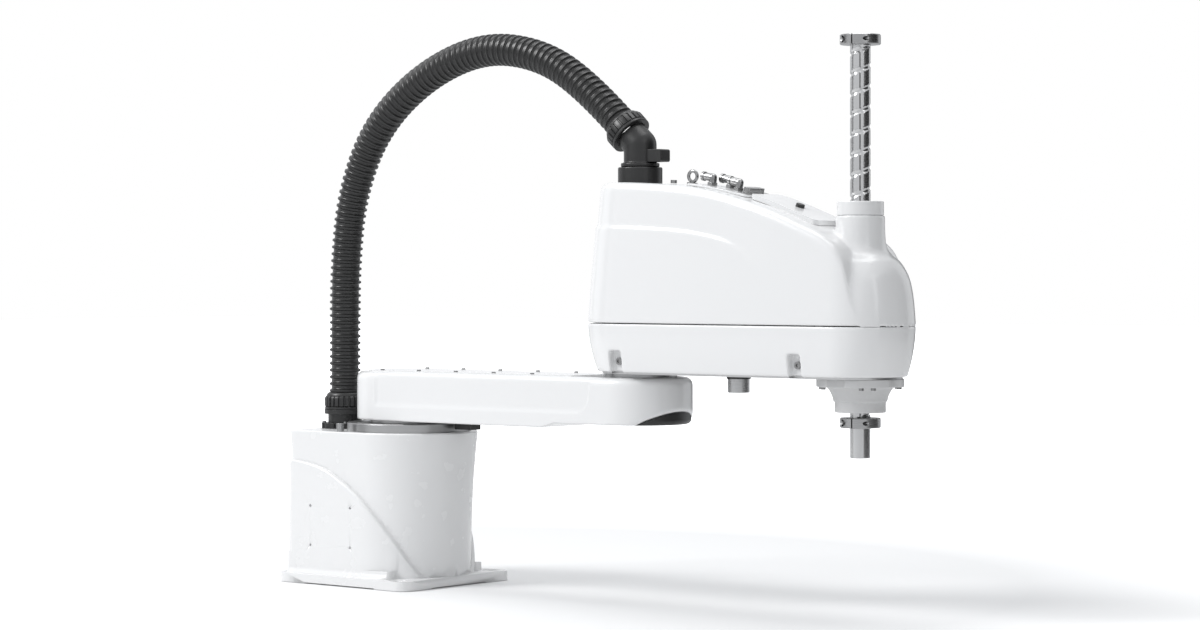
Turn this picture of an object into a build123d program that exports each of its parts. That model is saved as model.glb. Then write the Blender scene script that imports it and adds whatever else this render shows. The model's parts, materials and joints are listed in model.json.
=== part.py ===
from build123d import *
import os
from math import atan2, cos, degrees, pi, radians, sin, tan

os.makedirs("parts", exist_ok=True)

# Robot arm with two horizontal links, a vertical ball screw spline shaft and a
# corrugated conduit that arches from the base to the second arm.
# Frame: origin at the middle of the base bolt pattern on the mounting face,
# X towards the tool, Y to the left, Z up. All sizes in millimetres.

# Reach and stroke
LINK_1 = 325.0
LINK_2 = 275.0
STROKE = 150.0
J1_X = 22.0

# Base
PLATE_LENGTH = 192.0
PLATE_WIDTH = 176.0
PLATE_T = 10.0
PLATE_CORNER = 14.0
PAD_SIZE = 44.0
PAD_RELIEF = 1.0
BOLT_SPACING = 150.0
BOLT_HOLE = 9.0
SPOTFACE = 18.0
BASE_HEIGHT = 166.0
BASE_WIDTH = 151.0
BASE_WALL = 11.0
BASE_REAR_GAP = 4.0
COLUMN_WAIST = 68.0
COLUMN_CURVE = 2.2
FLANK_FOOT = 8.0
FLANK_PAD = 1.0
FLANK_FRONT = 68.0
FLANK_FRONT_R = 72.0
FLANK_EDGE = 3.0
REAR_CORNER = 10.0
BRACKET_SPACING_X = 60.0
BRACKET_SPACING_Z = 43.0
BRACKET_HOLE = 3.3
BRACKET_DEPTH = 8.0
REAR_PANEL_T = 4.0
REAR_PANEL_WIDTH = 116.0
REAR_PANEL_HEIGHT = 128.0
REAR_PANEL_LIP = 8.0

# Joint 1 drive
J1_RING_D = 136.0
J1_RING_T = 9.5
J1_DRIVE_D = 100.0
J1_DRIVE_DEPTH = 34.0
J1_OUTPUT_D = 84.0
MOTOR_1_SIZE = 60.0
PILOT = 0.36
MOTOR_1_LENGTH = 88.0
FACE_GAP = 0.3
J1_RANGE = 110.0
STOP_IN = 74.0
STOP_OUT = 98.0
STOP_HALF = 8.0
STOP_PIN_R = 4.0
STOP_RADIUS = 79.0

# Arm 1
ARM_1_GAP = 3.0
ARM_1_HEIGHT = 53.5
ARM_1_REAR_R = 58.0
ARM_1_TIP_R = 54.4
ARM_1_EDGE = 8.0
ARM_1_RISE = 5.0
ARM_1_WALL = 9.0
TOP_COVER_T = 2.0
TOP_COVER_INSET = 14.0
PANEL_DEPTH = 1.2
TIP_SLOPE_X = 27.0
TIP_SLOPE_H = 15.0

# Joint 2 drive
J2_DRIVE_D = 76.0
J2_OUTPUT_D = 60.0
J2_OUTPUT_T = 10.0
MOTOR_2_SIZE = 60.0
MOTOR_2_LENGTH = 84.0

# Arm 2 housing
RIM_GAP = 5.7
SKIRT_H = 50.1
COVER_H = 143.2
SEAM_GAP = 0.6
NECK_H = 107.6
DOME_H = 118.0
HOUSING_R = 54.0
HOUSING_WALL = 3.0
RIM_REAR_IN = 12.0
RIM_NOSE_IN = 9.0
RIM_SIDE_IN = 4.5
TOP_REAR_IN = 15.0
TOP_SIDE_IN = 2.5
TOP_ROUND = 9.0
NECK_R = 24.0
NECK_CAP_H = 13.6
NOTCH_WIDTH = 15.0
NOTCH_HEIGHT = 22.3
NOTCH_DEPTH = 11.0
NOTCH_REAR = 8.0
NOTCH_FRONT = 43.0
NOTCH_WALL = 2.0
NOTCH_SCREW_H = 11.3

# Arm 2 frame and drives
FRAME_T = 9.0
FRAME_DROP = 1.7
SHELF_OVER_SEAM = 8.2
SHELF_T = 8.0
POST_D = 12.0
BELT_U_H = 20.3
BELT_STEP = 24.0
BELT_W = 9.0
BELT_T = 2.0
BELT_PITCH = 3.0
MOTOR_TEETH = 24
NUT_TEETH = 48
FRAME_CLEAR = 1.5
PULLEY_FLANGE = 1.6
MOTOR_U_AT = 74.0
MOTOR_Z_AT = 128.0
MOTOR_3_SIZE = 40.0
MOTOR_U_LENGTH = 62.0
MOTOR_Z_LENGTH = 84.0
STUD_AT = 127.0
STUD_D = 22.0
STUD_LENGTH = 17.4

# Shaft and nuts
SHAFT_D = 20.0
SHAFT_BORE = 11.0
SHAFT_END = 29.7
RELIEF_W = 1.0
RELIEF_DEPTH = 0.3
STROKE_SPARE = 2.8
SHAFT_FIT = 0.05
SPLINE_GROOVE_R = 1.6
SPLINE_COUNT = 3
COLLAR_D = 40.0
COLLAR_T = 10.0
COLLAR_GAP = 5.0
NUT_R = 16.0
SPLINE_NUT_LENGTH = 42.0
BALL_NUT_LENGTH = 46.0
NUT_FLANGE_R = 22.0
NUT_RING_R = 25.0
NUT_HOUSING_H = 33.0
NUT_RING_H = 11.0
NUT_FLANGE_T = 8.0
NUT_HOUSING_R = 43.0
BEARING_W = 9.0

# Conduit and fittings
HOSE_D = 34.5
HOSE_WALL = 3.0
HOSE_ENTRY = 58.0
HOSE_BASE_X = -90.0
HOSE_BASE_Y = -8.0
GLAND_FLANGE_R = 26.0
GLAND_FLANGE_T = 6.0
GLAND_BODY_H = 21.0
GLAND_NUT_R = 22.7
GLAND_SCREW_R = 2.2
GLAND_SCREW_DEPTH = 9.0
GLAND_NUT_H = 19.0
SOCKET_R = 23.0
SOCKET_H = 17.0
ELBOW_R = 17.0
ELBOW_TILT = 48.0
ELBOW_RISE = 23.0
ELBOW_REACH = 15.0

PANEL_LOW = PLATE_T + 10
PANEL_REAR = -PLATE_LENGTH / 2 + BASE_REAR_GAP
BASE_TOP = BASE_HEIGHT
J1_RING_TOP = BASE_TOP + J1_RING_T
ARM_1_BOTTOM = J1_RING_TOP + ARM_1_GAP
J2_X = J1_X + LINK_1
J3_X = J2_X + LINK_2
ARM_1_TOP = ARM_1_BOTTOM + ARM_1_HEIGHT
RIM_Z = ARM_1_TOP + RIM_GAP
SEAM_Z = RIM_Z + SKIRT_H
HOUSING_TOP = SEAM_Z + COVER_H
NECK_TOP = SEAM_Z + NECK_H
NOTCH_TOP = RIM_Z + NOTCH_HEIGHT
NOTCH_SCREW_Z = RIM_Z + NOTCH_SCREW_H
SHELF_Z = SEAM_Z + SHELF_OVER_SEAM
BELT_U_Z = RIM_Z + BELT_U_H
BELT_Z_Z = BELT_U_Z + BELT_STEP
FRAME_Z = RIM_Z - FRAME_DROP
STUD_BOTTOM = FRAME_Z - STUD_LENGTH
NUT_RING_BOTTOM = FRAME_Z - NUT_HOUSING_H
LOW_COLLAR_Z = NUT_RING_BOTTOM - COLLAR_GAP - COLLAR_T
SHAFT_BOTTOM = LOW_COLLAR_Z - SHAFT_END
FRAME_TOP = FRAME_Z + FRAME_T
HIGH_COLLAR_Z = NECK_TOP + NECK_CAP_H + STROKE + STROKE_SPARE
SHAFT_TOP = HIGH_COLLAR_Z + COLLAR_T
UP = (Align.CENTER, Align.CENTER, Align.MIN)

nodes = {}


def rod(radius, z0, z1, x=0.0, y=0.0, bore=0.0):
    """Upright round bar from z0 to z1, with a hole where bore is given."""
    bar = Pos(x, y, z0) * Cylinder(radius, z1 - z0, align=UP)
    if bore:
        bar -= Pos(x, y, z0 - 1) * Cylinder(bore, z1 - z0 + 2, align=UP)
    return bar


def block(x0, x1, y0, y1, z0, z1):
    """Box between two corners."""
    middle = Pos((x0 + x1) / 2, (y0 + y1) / 2, z0)
    return middle * Box(x1 - x0, y1 - y0, z1 - z0, align=UP)


def slot_plan(rear, front, half):
    """Long plan with round ends, from x = rear to x = front."""
    middle = Pos((rear + front) / 2, 0, 0)
    return middle * SlotOverall(front - rear, 2 * half)


def link_plan(rear_r, tip_r, x0, x1):
    """Two end circles joined by their tangents."""
    ends = Pos(x0, 0) * Circle(rear_r) + Pos(x1, 0) * Circle(tip_r)
    return make_hull(ends.edges())


def side_face(*points):
    """Closed face in the XZ plane, through straight runs."""
    return make_face(Plane.XZ * Polyline(*points, close=True))


def side_slab(face, width, y=0.0):
    """Side view face given a width along Y, about y."""
    return Pos(0, y, 0) * extrude(face, width / 2, both=True)


def screw(x, y, z, r=2.7, head=2.6, depth=8.0, turn=(0, 0, 0)):
    """Socket head screw, head up, seated at the point given."""
    body = Cylinder(r, head, align=UP)
    body -= Pos(0, 0, head - 1.2) * extrude(RegularPolygon(r * 0.55, 6), 2)
    body += Cylinder(r * 0.55, depth, align=(Align.CENTER, Align.CENTER, Align.MAX))
    return Pos(x, y, z) * Rot(*turn) * body


def shank(x, y, z, r, depth, turn=(0, 0, 0)):
    """Clearance hole for a screw of head radius r, down from its seat."""
    hole = Cylinder(r * 0.55 + 0.08, depth + 1.3, align=(Align.CENTER, Align.CENTER, Align.MAX))
    return Pos(x, y, z) * Rot(*turn) * Pos(0, 0, 1) * hole


def ring_of(count, radius, start=0.0):
    """Places on a circle."""
    return [
        (
            radius * cos(radians(start + 360 * i / count)),
            radius * sin(radians(start + 360 * i / count)),
        )
        for i in range(count)
    ]


def add(name, *solids):
    """Keep the solids of one node under its name."""
    kept = []
    for item in solids:
        kept += item.solids() if hasattr(item, "solids") else [item]
    nodes[name] = kept


# Base: a flat plate with a cast body, square behind and round in front
def base_plan(z, inset=0.0):
    """Square rear and round front about joint 1, at one height."""
    t = max(0.0, (z - PLATE_T) / (BASE_TOP - PLATE_T))
    radius = COLUMN_WAIST + (BASE_WIDTH / 2 - COLUMN_WAIST) * t**COLUMN_CURVE - inset
    rear = PANEL_REAR + inset
    edge = (
        Line((J1_X, -radius), (rear, -radius))
        + Line((rear, -radius), (rear, radius))
        + Line((rear, radius), (J1_X, radius))
        + ThreePointArc((J1_X, radius), (J1_X + radius, 0), (J1_X, -radius))
    )
    return Pos(0, 0, z) * make_face(edge)


def base_column(inset=0.0, z0=PLATE_T, z1=BASE_TOP):
    """Body that narrows gently from its top to its waist."""
    body = loft([base_plan(z0 + (z1 - z0) * i / 4, inset) for i in range(5)])
    upright = [e for e in body.edges() if abs(e.tangent_at(0.5).Z) > 0.7]
    rear = [e for e in upright if e.center().X < PANEL_REAR + inset + 1]
    return fillet(rear, REAR_CORNER)


def flank_profile():
    """Side view of the flat flank, under its long S-shaped edge."""
    start = (PANEL_REAR - 1, 134.0)
    low = (J1_X + 57, PLATE_T)
    sweep = Spline(
        start,
        (J1_X - 76, 130),
        (J1_X - 52, 123),
        (J1_X - 32, 113),
        (J1_X - 8, 98),
        (J1_X + 12, 80),
        (J1_X + 26, 63.4),
        (J1_X + 37, 47.6),
        (J1_X + 44, 35),
        (J1_X + 51, 22),
        low,
    )
    foot = (low[0], PLATE_T - 0.5)
    back = (start[0], PLATE_T - 0.5)
    return make_face(Plane.XZ * (sweep + Line(low, foot) + Line(foot, back) + Line(back, start)))


def flank_pad():
    """Square block whose front wraps round the column, cut along the S-curve."""
    half = BASE_WIDTH / 2 + FLANK_PAD
    front = J1_X + FLANK_FRONT
    plan = make_face(
        Polyline((PANEL_REAR, -half), (front, -half), (front, half), (PANEL_REAR, half), close=True)
    )
    plan = fillet([v for v in plan.vertices() if v.X > J1_X], FLANK_FRONT_R)
    plan = fillet([v for v in plan.vertices() if v.X < PANEL_REAR + 1], REAR_CORNER)
    pad = Pos(0, 0, PLATE_T - 0.5) * extrude(plan, 130)
    pad &= side_slab(flank_profile(), 200)
    long_edges = [e for e in pad.edges() if e.center().Z > PLATE_T + 1 and e.length > 60]
    return fillet([e for e in long_edges if abs(e.center().Y) > 3], FLANK_EDGE)


def foot_cove():
    """Concave flare where both flanks meet the plate."""
    half = BASE_WIDTH / 2 + FLANK_PAD
    flare = Box(PLATE_LENGTH - 20, 2 * (half + FLANK_FOOT), FLANK_FOOT + 0.5, align=UP)
    for side in (-1, 1):
        edge = Pos(0, side * (half + FLANK_FOOT), FLANK_FOOT + 0.5) * Rot(0, 90, 0)
        flare -= edge * Cylinder(FLANK_FOOT, PLATE_LENGTH)
    length = J1_X + 40 - PANEL_REAR
    ends = extrude(RectangleRounded(length, 2 * (half + FLANK_FOOT), 2 * FLANK_FOOT), 20)
    return Pos(0, 0, PLATE_T - 0.5) * (flare & Pos(PANEL_REAR + length / 2, 0, 0) * ends)


def gland_screw_places():
    seat = BASE_TOP + GLAND_FLANGE_T
    return [(HOSE_X + x, HOSE_BASE_Y + y, seat) for x, y in ring_of(4, GLAND_FLANGE_R - 2.8, 45.0)]


def base_casting():
    plate = extrude(RectangleRounded(PLATE_LENGTH, PLATE_WIDTH, PLATE_CORNER), PLATE_T)
    relief = Box(PLATE_LENGTH + 2, PLATE_WIDTH - 2 * PAD_SIZE, 2 * PAD_RELIEF)
    relief += Box(PLATE_LENGTH - 2 * PAD_SIZE, PLATE_WIDTH + 2, 2 * PAD_RELIEF)
    plate -= relief
    cast = plate + flank_pad() + foot_cove()
    cast += base_column(0.0, PLATE_T - 0.5)
    cast = fillet(cast.edges().group_by(Axis.Z)[-1], 2.0)
    cast -= base_column(BASE_WALL, PLATE_T + 2, BASE_TOP - 12)
    cast -= rod(J1_DRIVE_D / 2 + FACE_GAP, BASE_TOP - 14, BASE_TOP + 1, J1_X)
    half = REAR_PANEL_WIDTH / 2 + FACE_GAP
    low = PANEL_LOW - FACE_GAP
    high = PANEL_LOW + REAR_PANEL_HEIGHT + FACE_GAP
    cast -= block(PANEL_REAR - 1, PANEL_REAR + REAR_PANEL_T, -half, half, low, high)
    lip = REAR_PANEL_LIP
    cast -= block(PANEL_REAR, PANEL_REAR + 30, lip - half, half - lip, low + lip, high - lip)
    for sx in (-1, 1):
        for sy in (-1, 1):
            x, y = sx * BOLT_SPACING / 2, sy * BOLT_SPACING / 2
            cast -= rod(BOLT_HOLE / 2, -1, PLATE_T + 1, x, y)
            cast -= rod(SPOTFACE / 2, PLATE_T - 0.8, PLATE_T + 18, x, y)
    for x, z in bracket_places():
        for side in (-1, 1):
            hole = Rot(90, 0, 0) * Cylinder(BRACKET_HOLE / 2, 2 * BRACKET_DEPTH)
            cast -= Pos(x, side * (BASE_WIDTH / 2 + FLANK_PAD), z) * hole
    cast -= rod(HOSE_D / 2 - HOSE_WALL, BASE_TOP - 16, BASE_TOP + 1, HOSE_X, HOSE_BASE_Y)
    for place in gland_screw_places():
        cast -= shank(*place, GLAND_SCREW_R, GLAND_SCREW_DEPTH)
    return cast


HOSE_X = J1_X + HOSE_BASE_X
BRACKET_X = J1_X - 46.5
BRACKET_Z = 62.5


def bracket_places():
    """Tapped holes for a side bracket, four on each flank."""
    return [
        (BRACKET_X + sx * BRACKET_SPACING_X / 2, BRACKET_Z + sz * BRACKET_SPACING_Z / 2)
        for sx in (-1, 1)
        for sz in (-1, 1)
    ]


add("base_casting", base_casting())


def rear_panel():
    """Cover over the rear opening of the base, with holes for its sockets."""
    half = REAR_PANEL_WIDTH / 2
    front = PANEL_REAR + REAR_PANEL_T - FACE_GAP / 2
    panel = block(PANEL_REAR, front, -half, half, PANEL_LOW, PANEL_LOW + REAR_PANEL_HEIGHT)
    panel = fillet(panel.edges().filter_by(Axis.X), 5.0)
    for y, z, r in SOCKETS:
        panel -= Pos(PANEL_REAR, y, z) * Rot(0, 90, 0) * Cylinder(r, 20)
    for place in panel_screw_places():
        panel -= shank(*place, 2.4, 3.4, (0, -90, 0))
    return panel


def panel_screw_places():
    return [
        (PANEL_REAR, sy * (REAR_PANEL_WIDTH / 2 - 4.5), PANEL_LOW + h)
        for sy in (-1, 1)
        for h in (6.0, REAR_PANEL_HEIGHT / 2, REAR_PANEL_HEIGHT - 6.0)
    ]


POWER_AT = (22.0, PANEL_LOW + 92.0)
SIGNAL_AT = (-20.0, PANEL_LOW + 92.0)
POWER_R = 17.0
SIGNAL_R = 12.0
PORT_R = 6.0
PORT_Z = PANEL_LOW + 44.0
PORT_YS = (-24.0, 0.0, 24.0)
SOCKETS = (
    [(*POWER_AT, POWER_R), (*SIGNAL_AT, SIGNAL_R)] + [(y, PORT_Z, PORT_R) for y in PORT_YS]
)


def round_socket(y, z, radius, reach, depth):
    """Panel socket with a square flange, a threaded barrel and contact pins."""
    wall = 2.4
    side = 2 * radius + 8
    barrel = Cylinder(radius - FACE_GAP, reach + 8, align=UP)
    flange = Pos(0, 0, 8) * extrude(RectangleRounded(side, side, 3), 2.5)
    cavity = Pos(0, 0, 8 + reach - depth) * Cylinder(radius - wall, depth + 1, align=UP)
    shell = barrel + flange - cavity
    for px, py in ring_of(6, radius * 0.45):
        shell += Pos(px, py, 8 + reach - depth) * Cylinder(0.9, depth * 0.55, align=UP)
    return Pos(PANEL_REAR + 8, y, z) * Rot(0, -90, 0) * shell


def air_port(y):
    """Bulkhead fitting for a 6 mm air tube, closed by its plug."""
    barrel = Cylinder(PORT_R - FACE_GAP, 14, align=UP)
    barrel += Pos(0, 0, 8) * extrude(RegularPolygon(PORT_R + 2.2, 6), 5)
    barrel += Pos(0, 0, 13) * Cylinder(PORT_R - 0.8, 9, align=UP)
    barrel -= Pos(0, 0, 12) * Cylinder(3.1, 12, align=UP)
    return Pos(PANEL_REAR + 8, y, PORT_Z) * Rot(0, -90, 0) * barrel


def air_plug(y):
    """Blanking plug with a small head."""
    plug = Cylinder(3.0, 11, align=UP) + Pos(0, 0, 10.2) * Cylinder(4.2, 3, align=UP)
    return Pos(PANEL_REAR - 4.2, y, PORT_Z) * Rot(0, -90, 0) * plug


add("base_rear_panel", rear_panel())
add("power_socket", round_socket(*POWER_AT, POWER_R, 18.0, 14.0))
add("signal_socket", round_socket(*SIGNAL_AT, SIGNAL_R, 16.0, 12.0))
add("base_air_ports", *[air_port(y) for y in PORT_YS])
add("base_air_plugs", *[air_plug(y) for y in PORT_YS])
add(
    "rear_panel_screws",
    *[screw(*place, 2.4, 2.0, 3.4, (0, -90, 0)) for place in panel_screw_places()],
)


# Joint 1 drive: motor and reducer hang in the base, the output turns arm 1
def j1_reducer():
    ring_z = J1_RING_TOP - J1_RING_T
    body = rod(J1_RING_D / 2, ring_z, J1_RING_TOP, J1_X)
    body = chamfer(body.edges().group_by(Axis.Z)[-1], 0.8)
    body += rod(J1_DRIVE_D / 2, ring_z - J1_DRIVE_DEPTH, ring_z + 1, J1_X)
    body -= rod(J1_OUTPUT_D / 2 + FACE_GAP, J1_RING_TOP - 7, J1_RING_TOP + 1, J1_X)
    return body - rod(11.0, ring_z - J1_DRIVE_DEPTH - 1, J1_RING_TOP, J1_X)


def j1_output():
    low = J1_RING_TOP - 7 + FACE_GAP
    disc = rod(J1_OUTPUT_D / 2, low, ARM_1_BOTTOM, J1_X)
    return disc - rod(8.0, low - 1, ARM_1_BOTTOM + 1, J1_X)


def motor(size, length, top, x, down=False, shaft_r=4.0, shaft_length=20.0):
    """Square servo motor with a round pilot, an end cap and its shaft."""
    body = extrude(RectangleRounded(size, size, size * 0.12), length - 14)
    cap = Pos(0, 0, length - 14) * extrude(RectangleRounded(size * 0.9, size * 0.9, size * 0.14), 14)
    body += cap
    body = body + Pos(0, 0, -3) * Cylinder(size * PILOT, 3.5, align=UP)
    body += Pos(0, 0, -shaft_length) * Cylinder(shaft_r, shaft_length, align=UP)
    if down:
        body = Rot(180, 0, 0) * body
    return Pos(x, 0, top) * body


DRIVE_1_LOW = J1_RING_TOP - J1_RING_T - J1_DRIVE_DEPTH
add("j1_reducer", j1_reducer())
add("j1_motor", motor(MOTOR_1_SIZE, MOTOR_1_LENGTH, DRIVE_1_LOW - 3, J1_X, True, 7.0, 24.0))
add("j1_output_flange", j1_output())


# Arm 1: a cast link with a flat flank panel, closed above and below
def arm_1_plan(inset=0.0):
    return slot_plan(J1_X - ARM_1_REAR_R + inset, J2_X + ARM_1_TIP_R - inset, ARM_1_TIP_R - inset)


def arm_1_casting():
    arm = Pos(0, 0, ARM_1_BOTTOM) * extrude(arm_1_plan(), ARM_1_HEIGHT)
    step = J2_X - 92.0
    far = J2_X + ARM_1_TIP_R + 1
    low = ARM_1_BOTTOM
    under = make_face(
        Plane.XZ
        * (
            Line((step, low - 1), (step, low))
            + Spline((step, low), (step + 26, low + ARM_1_RISE), tangents=((1, 0), (1, 0)))
            + Line((step + 26, low + ARM_1_RISE), (far, low + ARM_1_RISE))
            + Line((far, low + ARM_1_RISE), (far, low - 1))
            + Line((far, low - 1), (step, low - 1))
        )
    )
    width = 2 * ARM_1_REAR_R + 4
    arm -= side_slab(under, width)
    arm = fillet(arm.edges().group_by(Axis.Z)[-1], ARM_1_EDGE)
    arm -= side_slab(tip_slope(), width)
    for side in (-1, 1):
        arm -= flank_recess(side)
    recess = Pos(0, 0, ARM_1_TOP - TOP_COVER_T) * extrude(arm_1_plan(TOP_COVER_INSET - FACE_GAP / 2), 5)
    arm -= recess
    channel = block(J1_X + 30, J2_X - 62, -26, 26, low + ARM_1_WALL, ARM_1_TOP - 1)
    arm -= fillet(channel.edges().filter_by(Axis.Z), 8)
    arm -= rod(J2_DRIVE_D / 2 + 1.5, J2_OUT_TOP, ARM_1_TOP + 1, J2_X)
    arm -= rod(J2_OUTPUT_D / 2, low - 1, J2_OUT_TOP + 1, J2_X)
    arm -= rod(14.0, low - 1, low + 30, J1_X)
    under_cover = Pos(0, 0, low - 1) * extrude(Pos(J2_X, 0) * Circle(ARM_1_TIP_R - 6), BOTTOM_COVER_T + 1 + ARM_1_RISE)
    return arm - under_cover


J2_OUT_TOP = ARM_1_BOTTOM + ARM_1_RISE + 6.0 + J2_OUTPUT_T
BOTTOM_COVER_T = 6.0


def tip_slope(drop=0.0):
    """Side view of the sloped opening under the tip of the arm."""
    low = ARM_1_BOTTOM + ARM_1_RISE - drop
    x0 = J2_X + TIP_SLOPE_X
    x1 = J2_X + ARM_1_TIP_R + 2
    rise = TIP_SLOPE_H * (x1 - x0) / (ARM_1_TIP_R - TIP_SLOPE_X)
    return side_face((x0, low - 5), (x0, low), (x1, low + rise), (x1, low - 5))


def flank_recess(side):
    """Shallow long panel on the flank, with a round end towards joint 2."""
    x1 = J2_X - 25.0
    z0 = ARM_1_BOTTOM + 16.5
    z1 = ARM_1_TOP + 10
    round_r = 17.0
    face = make_face(
        Plane.XZ
        * (
            Line((J1_X - 70, z0), (x1 - round_r, z0))
            + ThreePointArc(
                (x1 - round_r, z0),
                (x1 - round_r * (1 - sin(pi / 4)), z0 + round_r * (1 - cos(pi / 4))),
                (x1, z0 + round_r),
            )
            + Line((x1, z0 + round_r), (x1 + 4, z1))
            + Line((x1 + 4, z1), (J1_X - 70, z1))
            + Line((J1_X - 70, z1), (J1_X - 70, z0))
        )
    )
    slab = side_slab(face, 8)
    placed = Pos(0, side * (ARM_1_TIP_R - PANEL_DEPTH + 4), 0) * slab
    return placed & block(J1_X, J2_X, -80, 80, 0, 400)


def arm_1_top_cover():
    cover = Pos(0, 0, ARM_1_TOP - TOP_COVER_T) * extrude(arm_1_plan(TOP_COVER_INSET), TOP_COVER_T + 0.8)
    cover &= block(J1_X - 70, J2_X - J2_DRIVE_D / 2 - 22, -70, 70, ARM_1_BOTTOM, ARM_1_TOP + 5)
    for x, y in cover_screw_places():
        cover -= shank(x, y, ARM_1_TOP + 0.8, 2.2, 0.7)
    return cover


def arm_1_bottom_cover():
    """Dark cover under the joint 2 end, with one rib across it."""
    low = ARM_1_BOTTOM + ARM_1_RISE
    disc = rod(ARM_1_TIP_R - 6 - FACE_GAP / 2, low, low + BOTTOM_COVER_T, J2_X)
    disc -= rod(J2_OUTPUT_D / 2 - 12, low + 2.5, low + BOTTOM_COVER_T + 1, J2_X)
    lip = rod(ARM_1_TIP_R - 1.5, low, low + 30, J2_X)
    lip = fillet(lip.edges().group_by(Axis.Z)[0], 5.0)
    lip &= side_slab(tip_slope(1.2), 120)
    rib = block(J2_X - 38, J2_X + 38, -1.5, 1.5, low - 1.2, low + 1)
    return disc + lip + Pos(J2_X, 0, 0) * Rot(0, 0, 50) * Pos(-J2_X, 0, 0) * rib


def cover_screw_places():
    """Screws along both long edges of the top cover."""
    span = LINK_1 - 110
    return [(J1_X - 6 + span * i / 4, side * 36.0) for i in range(5) for side in (-1, 1)]


add("arm_1_casting", arm_1_casting())
add("arm_1_top_cover", arm_1_top_cover())
add("arm_1_cover_screws", *[screw(x, y, ARM_1_TOP + 0.8, 2.2, 1.4, 0.7) for x, y in cover_screw_places()])
add("arm_1_bottom_cover", arm_1_bottom_cover())
add(
    "j1_stop_block",
    block(J1_X + STOP_IN, J1_X + STOP_OUT, -STOP_HALF, STOP_HALF, BASE_TOP + 3.5, ARM_1_BOTTOM),
)
STOP_ANGLE = J1_RANGE + degrees((STOP_HALF + STOP_PIN_R) / STOP_RADIUS) + 0.3
add(
    "j1_stop_pins",
    *[
        rod(STOP_PIN_R, BASE_TOP, BASE_TOP + 9, J1_X + x, y)
        for x, y in (ring_of(1, STOP_RADIUS, STOP_ANGLE) + ring_of(1, STOP_RADIUS, -STOP_ANGLE))
    ],
)
add("j2_output_flange", rod(J2_OUTPUT_D / 2 + 6, J2_OUT_TOP, J2_OUT_TOP + 4, J2_X))
add(
    "j2_reducer",
    rod(J2_DRIVE_D / 2, J2_OUT_TOP + 4 + FACE_GAP, FRAME_Z, J2_X) - rod(6.4, FRAME_Z - 22, FRAME_Z + 1, J2_X),
)


# Arm 2 housing: two shells that meet at a level seam
def section(z, inset=0.0):
    """Plan of the housing at one height."""
    if z <= SEAM_Z:
        t = (SEAM_Z - z) / (SEAM_Z - RIM_Z)
        rear = HOUSING_R - RIM_REAR_IN * t**1.8
        nose = HOUSING_R - RIM_NOSE_IN * t**1.8
        half = HOUSING_R - RIM_SIDE_IN * t**2
    else:
        t = (z - SEAM_Z) / (HOUSING_TOP - SEAM_Z)
        rear = HOUSING_R - TOP_REAR_IN * t**1.1
        half = HOUSING_R - TOP_SIDE_IN * t
        nose = half
    plan = slot_plan(J2_X - rear + inset, J3_X + nose - inset, half - inset)
    return Pos(0, 0, z) * plan


def shell_loft(z0, z1, count, inset=0.0):
    return loft([section(z0 + (z1 - z0) * i / count, inset) for i in range(count + 1)])


CREST_X = J2_X + SOCKET_R + 2


def crest_line(inset=0.0):
    """Falling part of the housing top, from the conduit socket to the nose."""
    top = HOUSING_TOP - inset
    return Spline(
        (CREST_X, top),
        (J2_X + 0.41 * LINK_2, top - 8.0),
        (J2_X + 0.68 * LINK_2, top - 26.0),
        (J3_X - 40.0, top - 43.5),
        (J3_X - 4 - inset * 0.5, top - 60.0),
        (J3_X + 15 - inset * 0.8, top - 82.0),
        (J3_X + 24.0 - inset, top - DOME_H),
        tangents=((1, 0), (0, -1)),
    )


def on_crest(x, y=0.0):
    """Place on the housing top at x, with Z square to the surface."""
    line = crest_line()
    low, high = 0.0, 1.0
    for _ in range(30):
        middle = (low + high) / 2
        if (line @ middle).X < x:
            low = middle
        else:
            high = middle
    point, run = line @ low, line % low
    return Pos(point.X, y, point.Y) * Rot(0, degrees(atan2(-run.Y, run.X)), 0)


def top_profile(inset=0.0):
    """Side view of the upper cover, level behind and falling to the nose."""
    rear = J2_X - HOUSING_R - 5
    top = HOUSING_TOP - inset
    front = J3_X + 24.0 - inset
    low = SEAM_Z - 10
    edge = (
        Line((rear, low), (rear, top))
        + Line((rear, top), (CREST_X, top))
        + crest_line(inset)
        + Line((front, top - DOME_H), (front, low))
        + Line((front, low), (rear, low))
    )
    return make_face(Plane.XZ * edge)


def nose_dome(inset=0.0):
    """Round nose about joint 3, running up into the neck."""
    r0 = HOUSING_R - inset
    neck = NECK_R - inset
    z0 = SEAM_Z
    edge = (
        Line((0, z0), (r0, z0))
        + Spline(
            (r0, z0),
            (r0 - 3.3, z0 + 34.7 - inset * 0.4),
            (r0 - 7.2, z0 + 49.2 - inset * 0.7),
            (r0 - 15.0, z0 + 62.2 - inset),
            (neck + 6.0, z0 + 69.8 - inset),
            (neck + 1.6, z0 + 78.0 - inset),
            (neck, NECK_TOP),
            tangents=((0, 1), (0, 1)),
        )
        + Line((neck, NECK_TOP), (0, NECK_TOP))
        + Line((0, NECK_TOP), (0, z0))
    )
    return Pos(J3_X, 0, 0) * revolve(make_face(Plane.XZ * edge), Axis.Z, 360)


def upper_form(inset=0.0):
    body = shell_loft(SEAM_Z, HOUSING_TOP + 4, 3, inset)
    width = 2 * HOUSING_R + 20
    body &= side_slab(top_profile(inset), width)
    above = [e for e in body.edges() if e.center().Z > SEAM_Z + 40]
    body = fillet([e for e in above if abs(e.center().Y) > 30 or e.center().X < J2_X], TOP_ROUND - inset)
    return body + nose_dome(inset)


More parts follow.
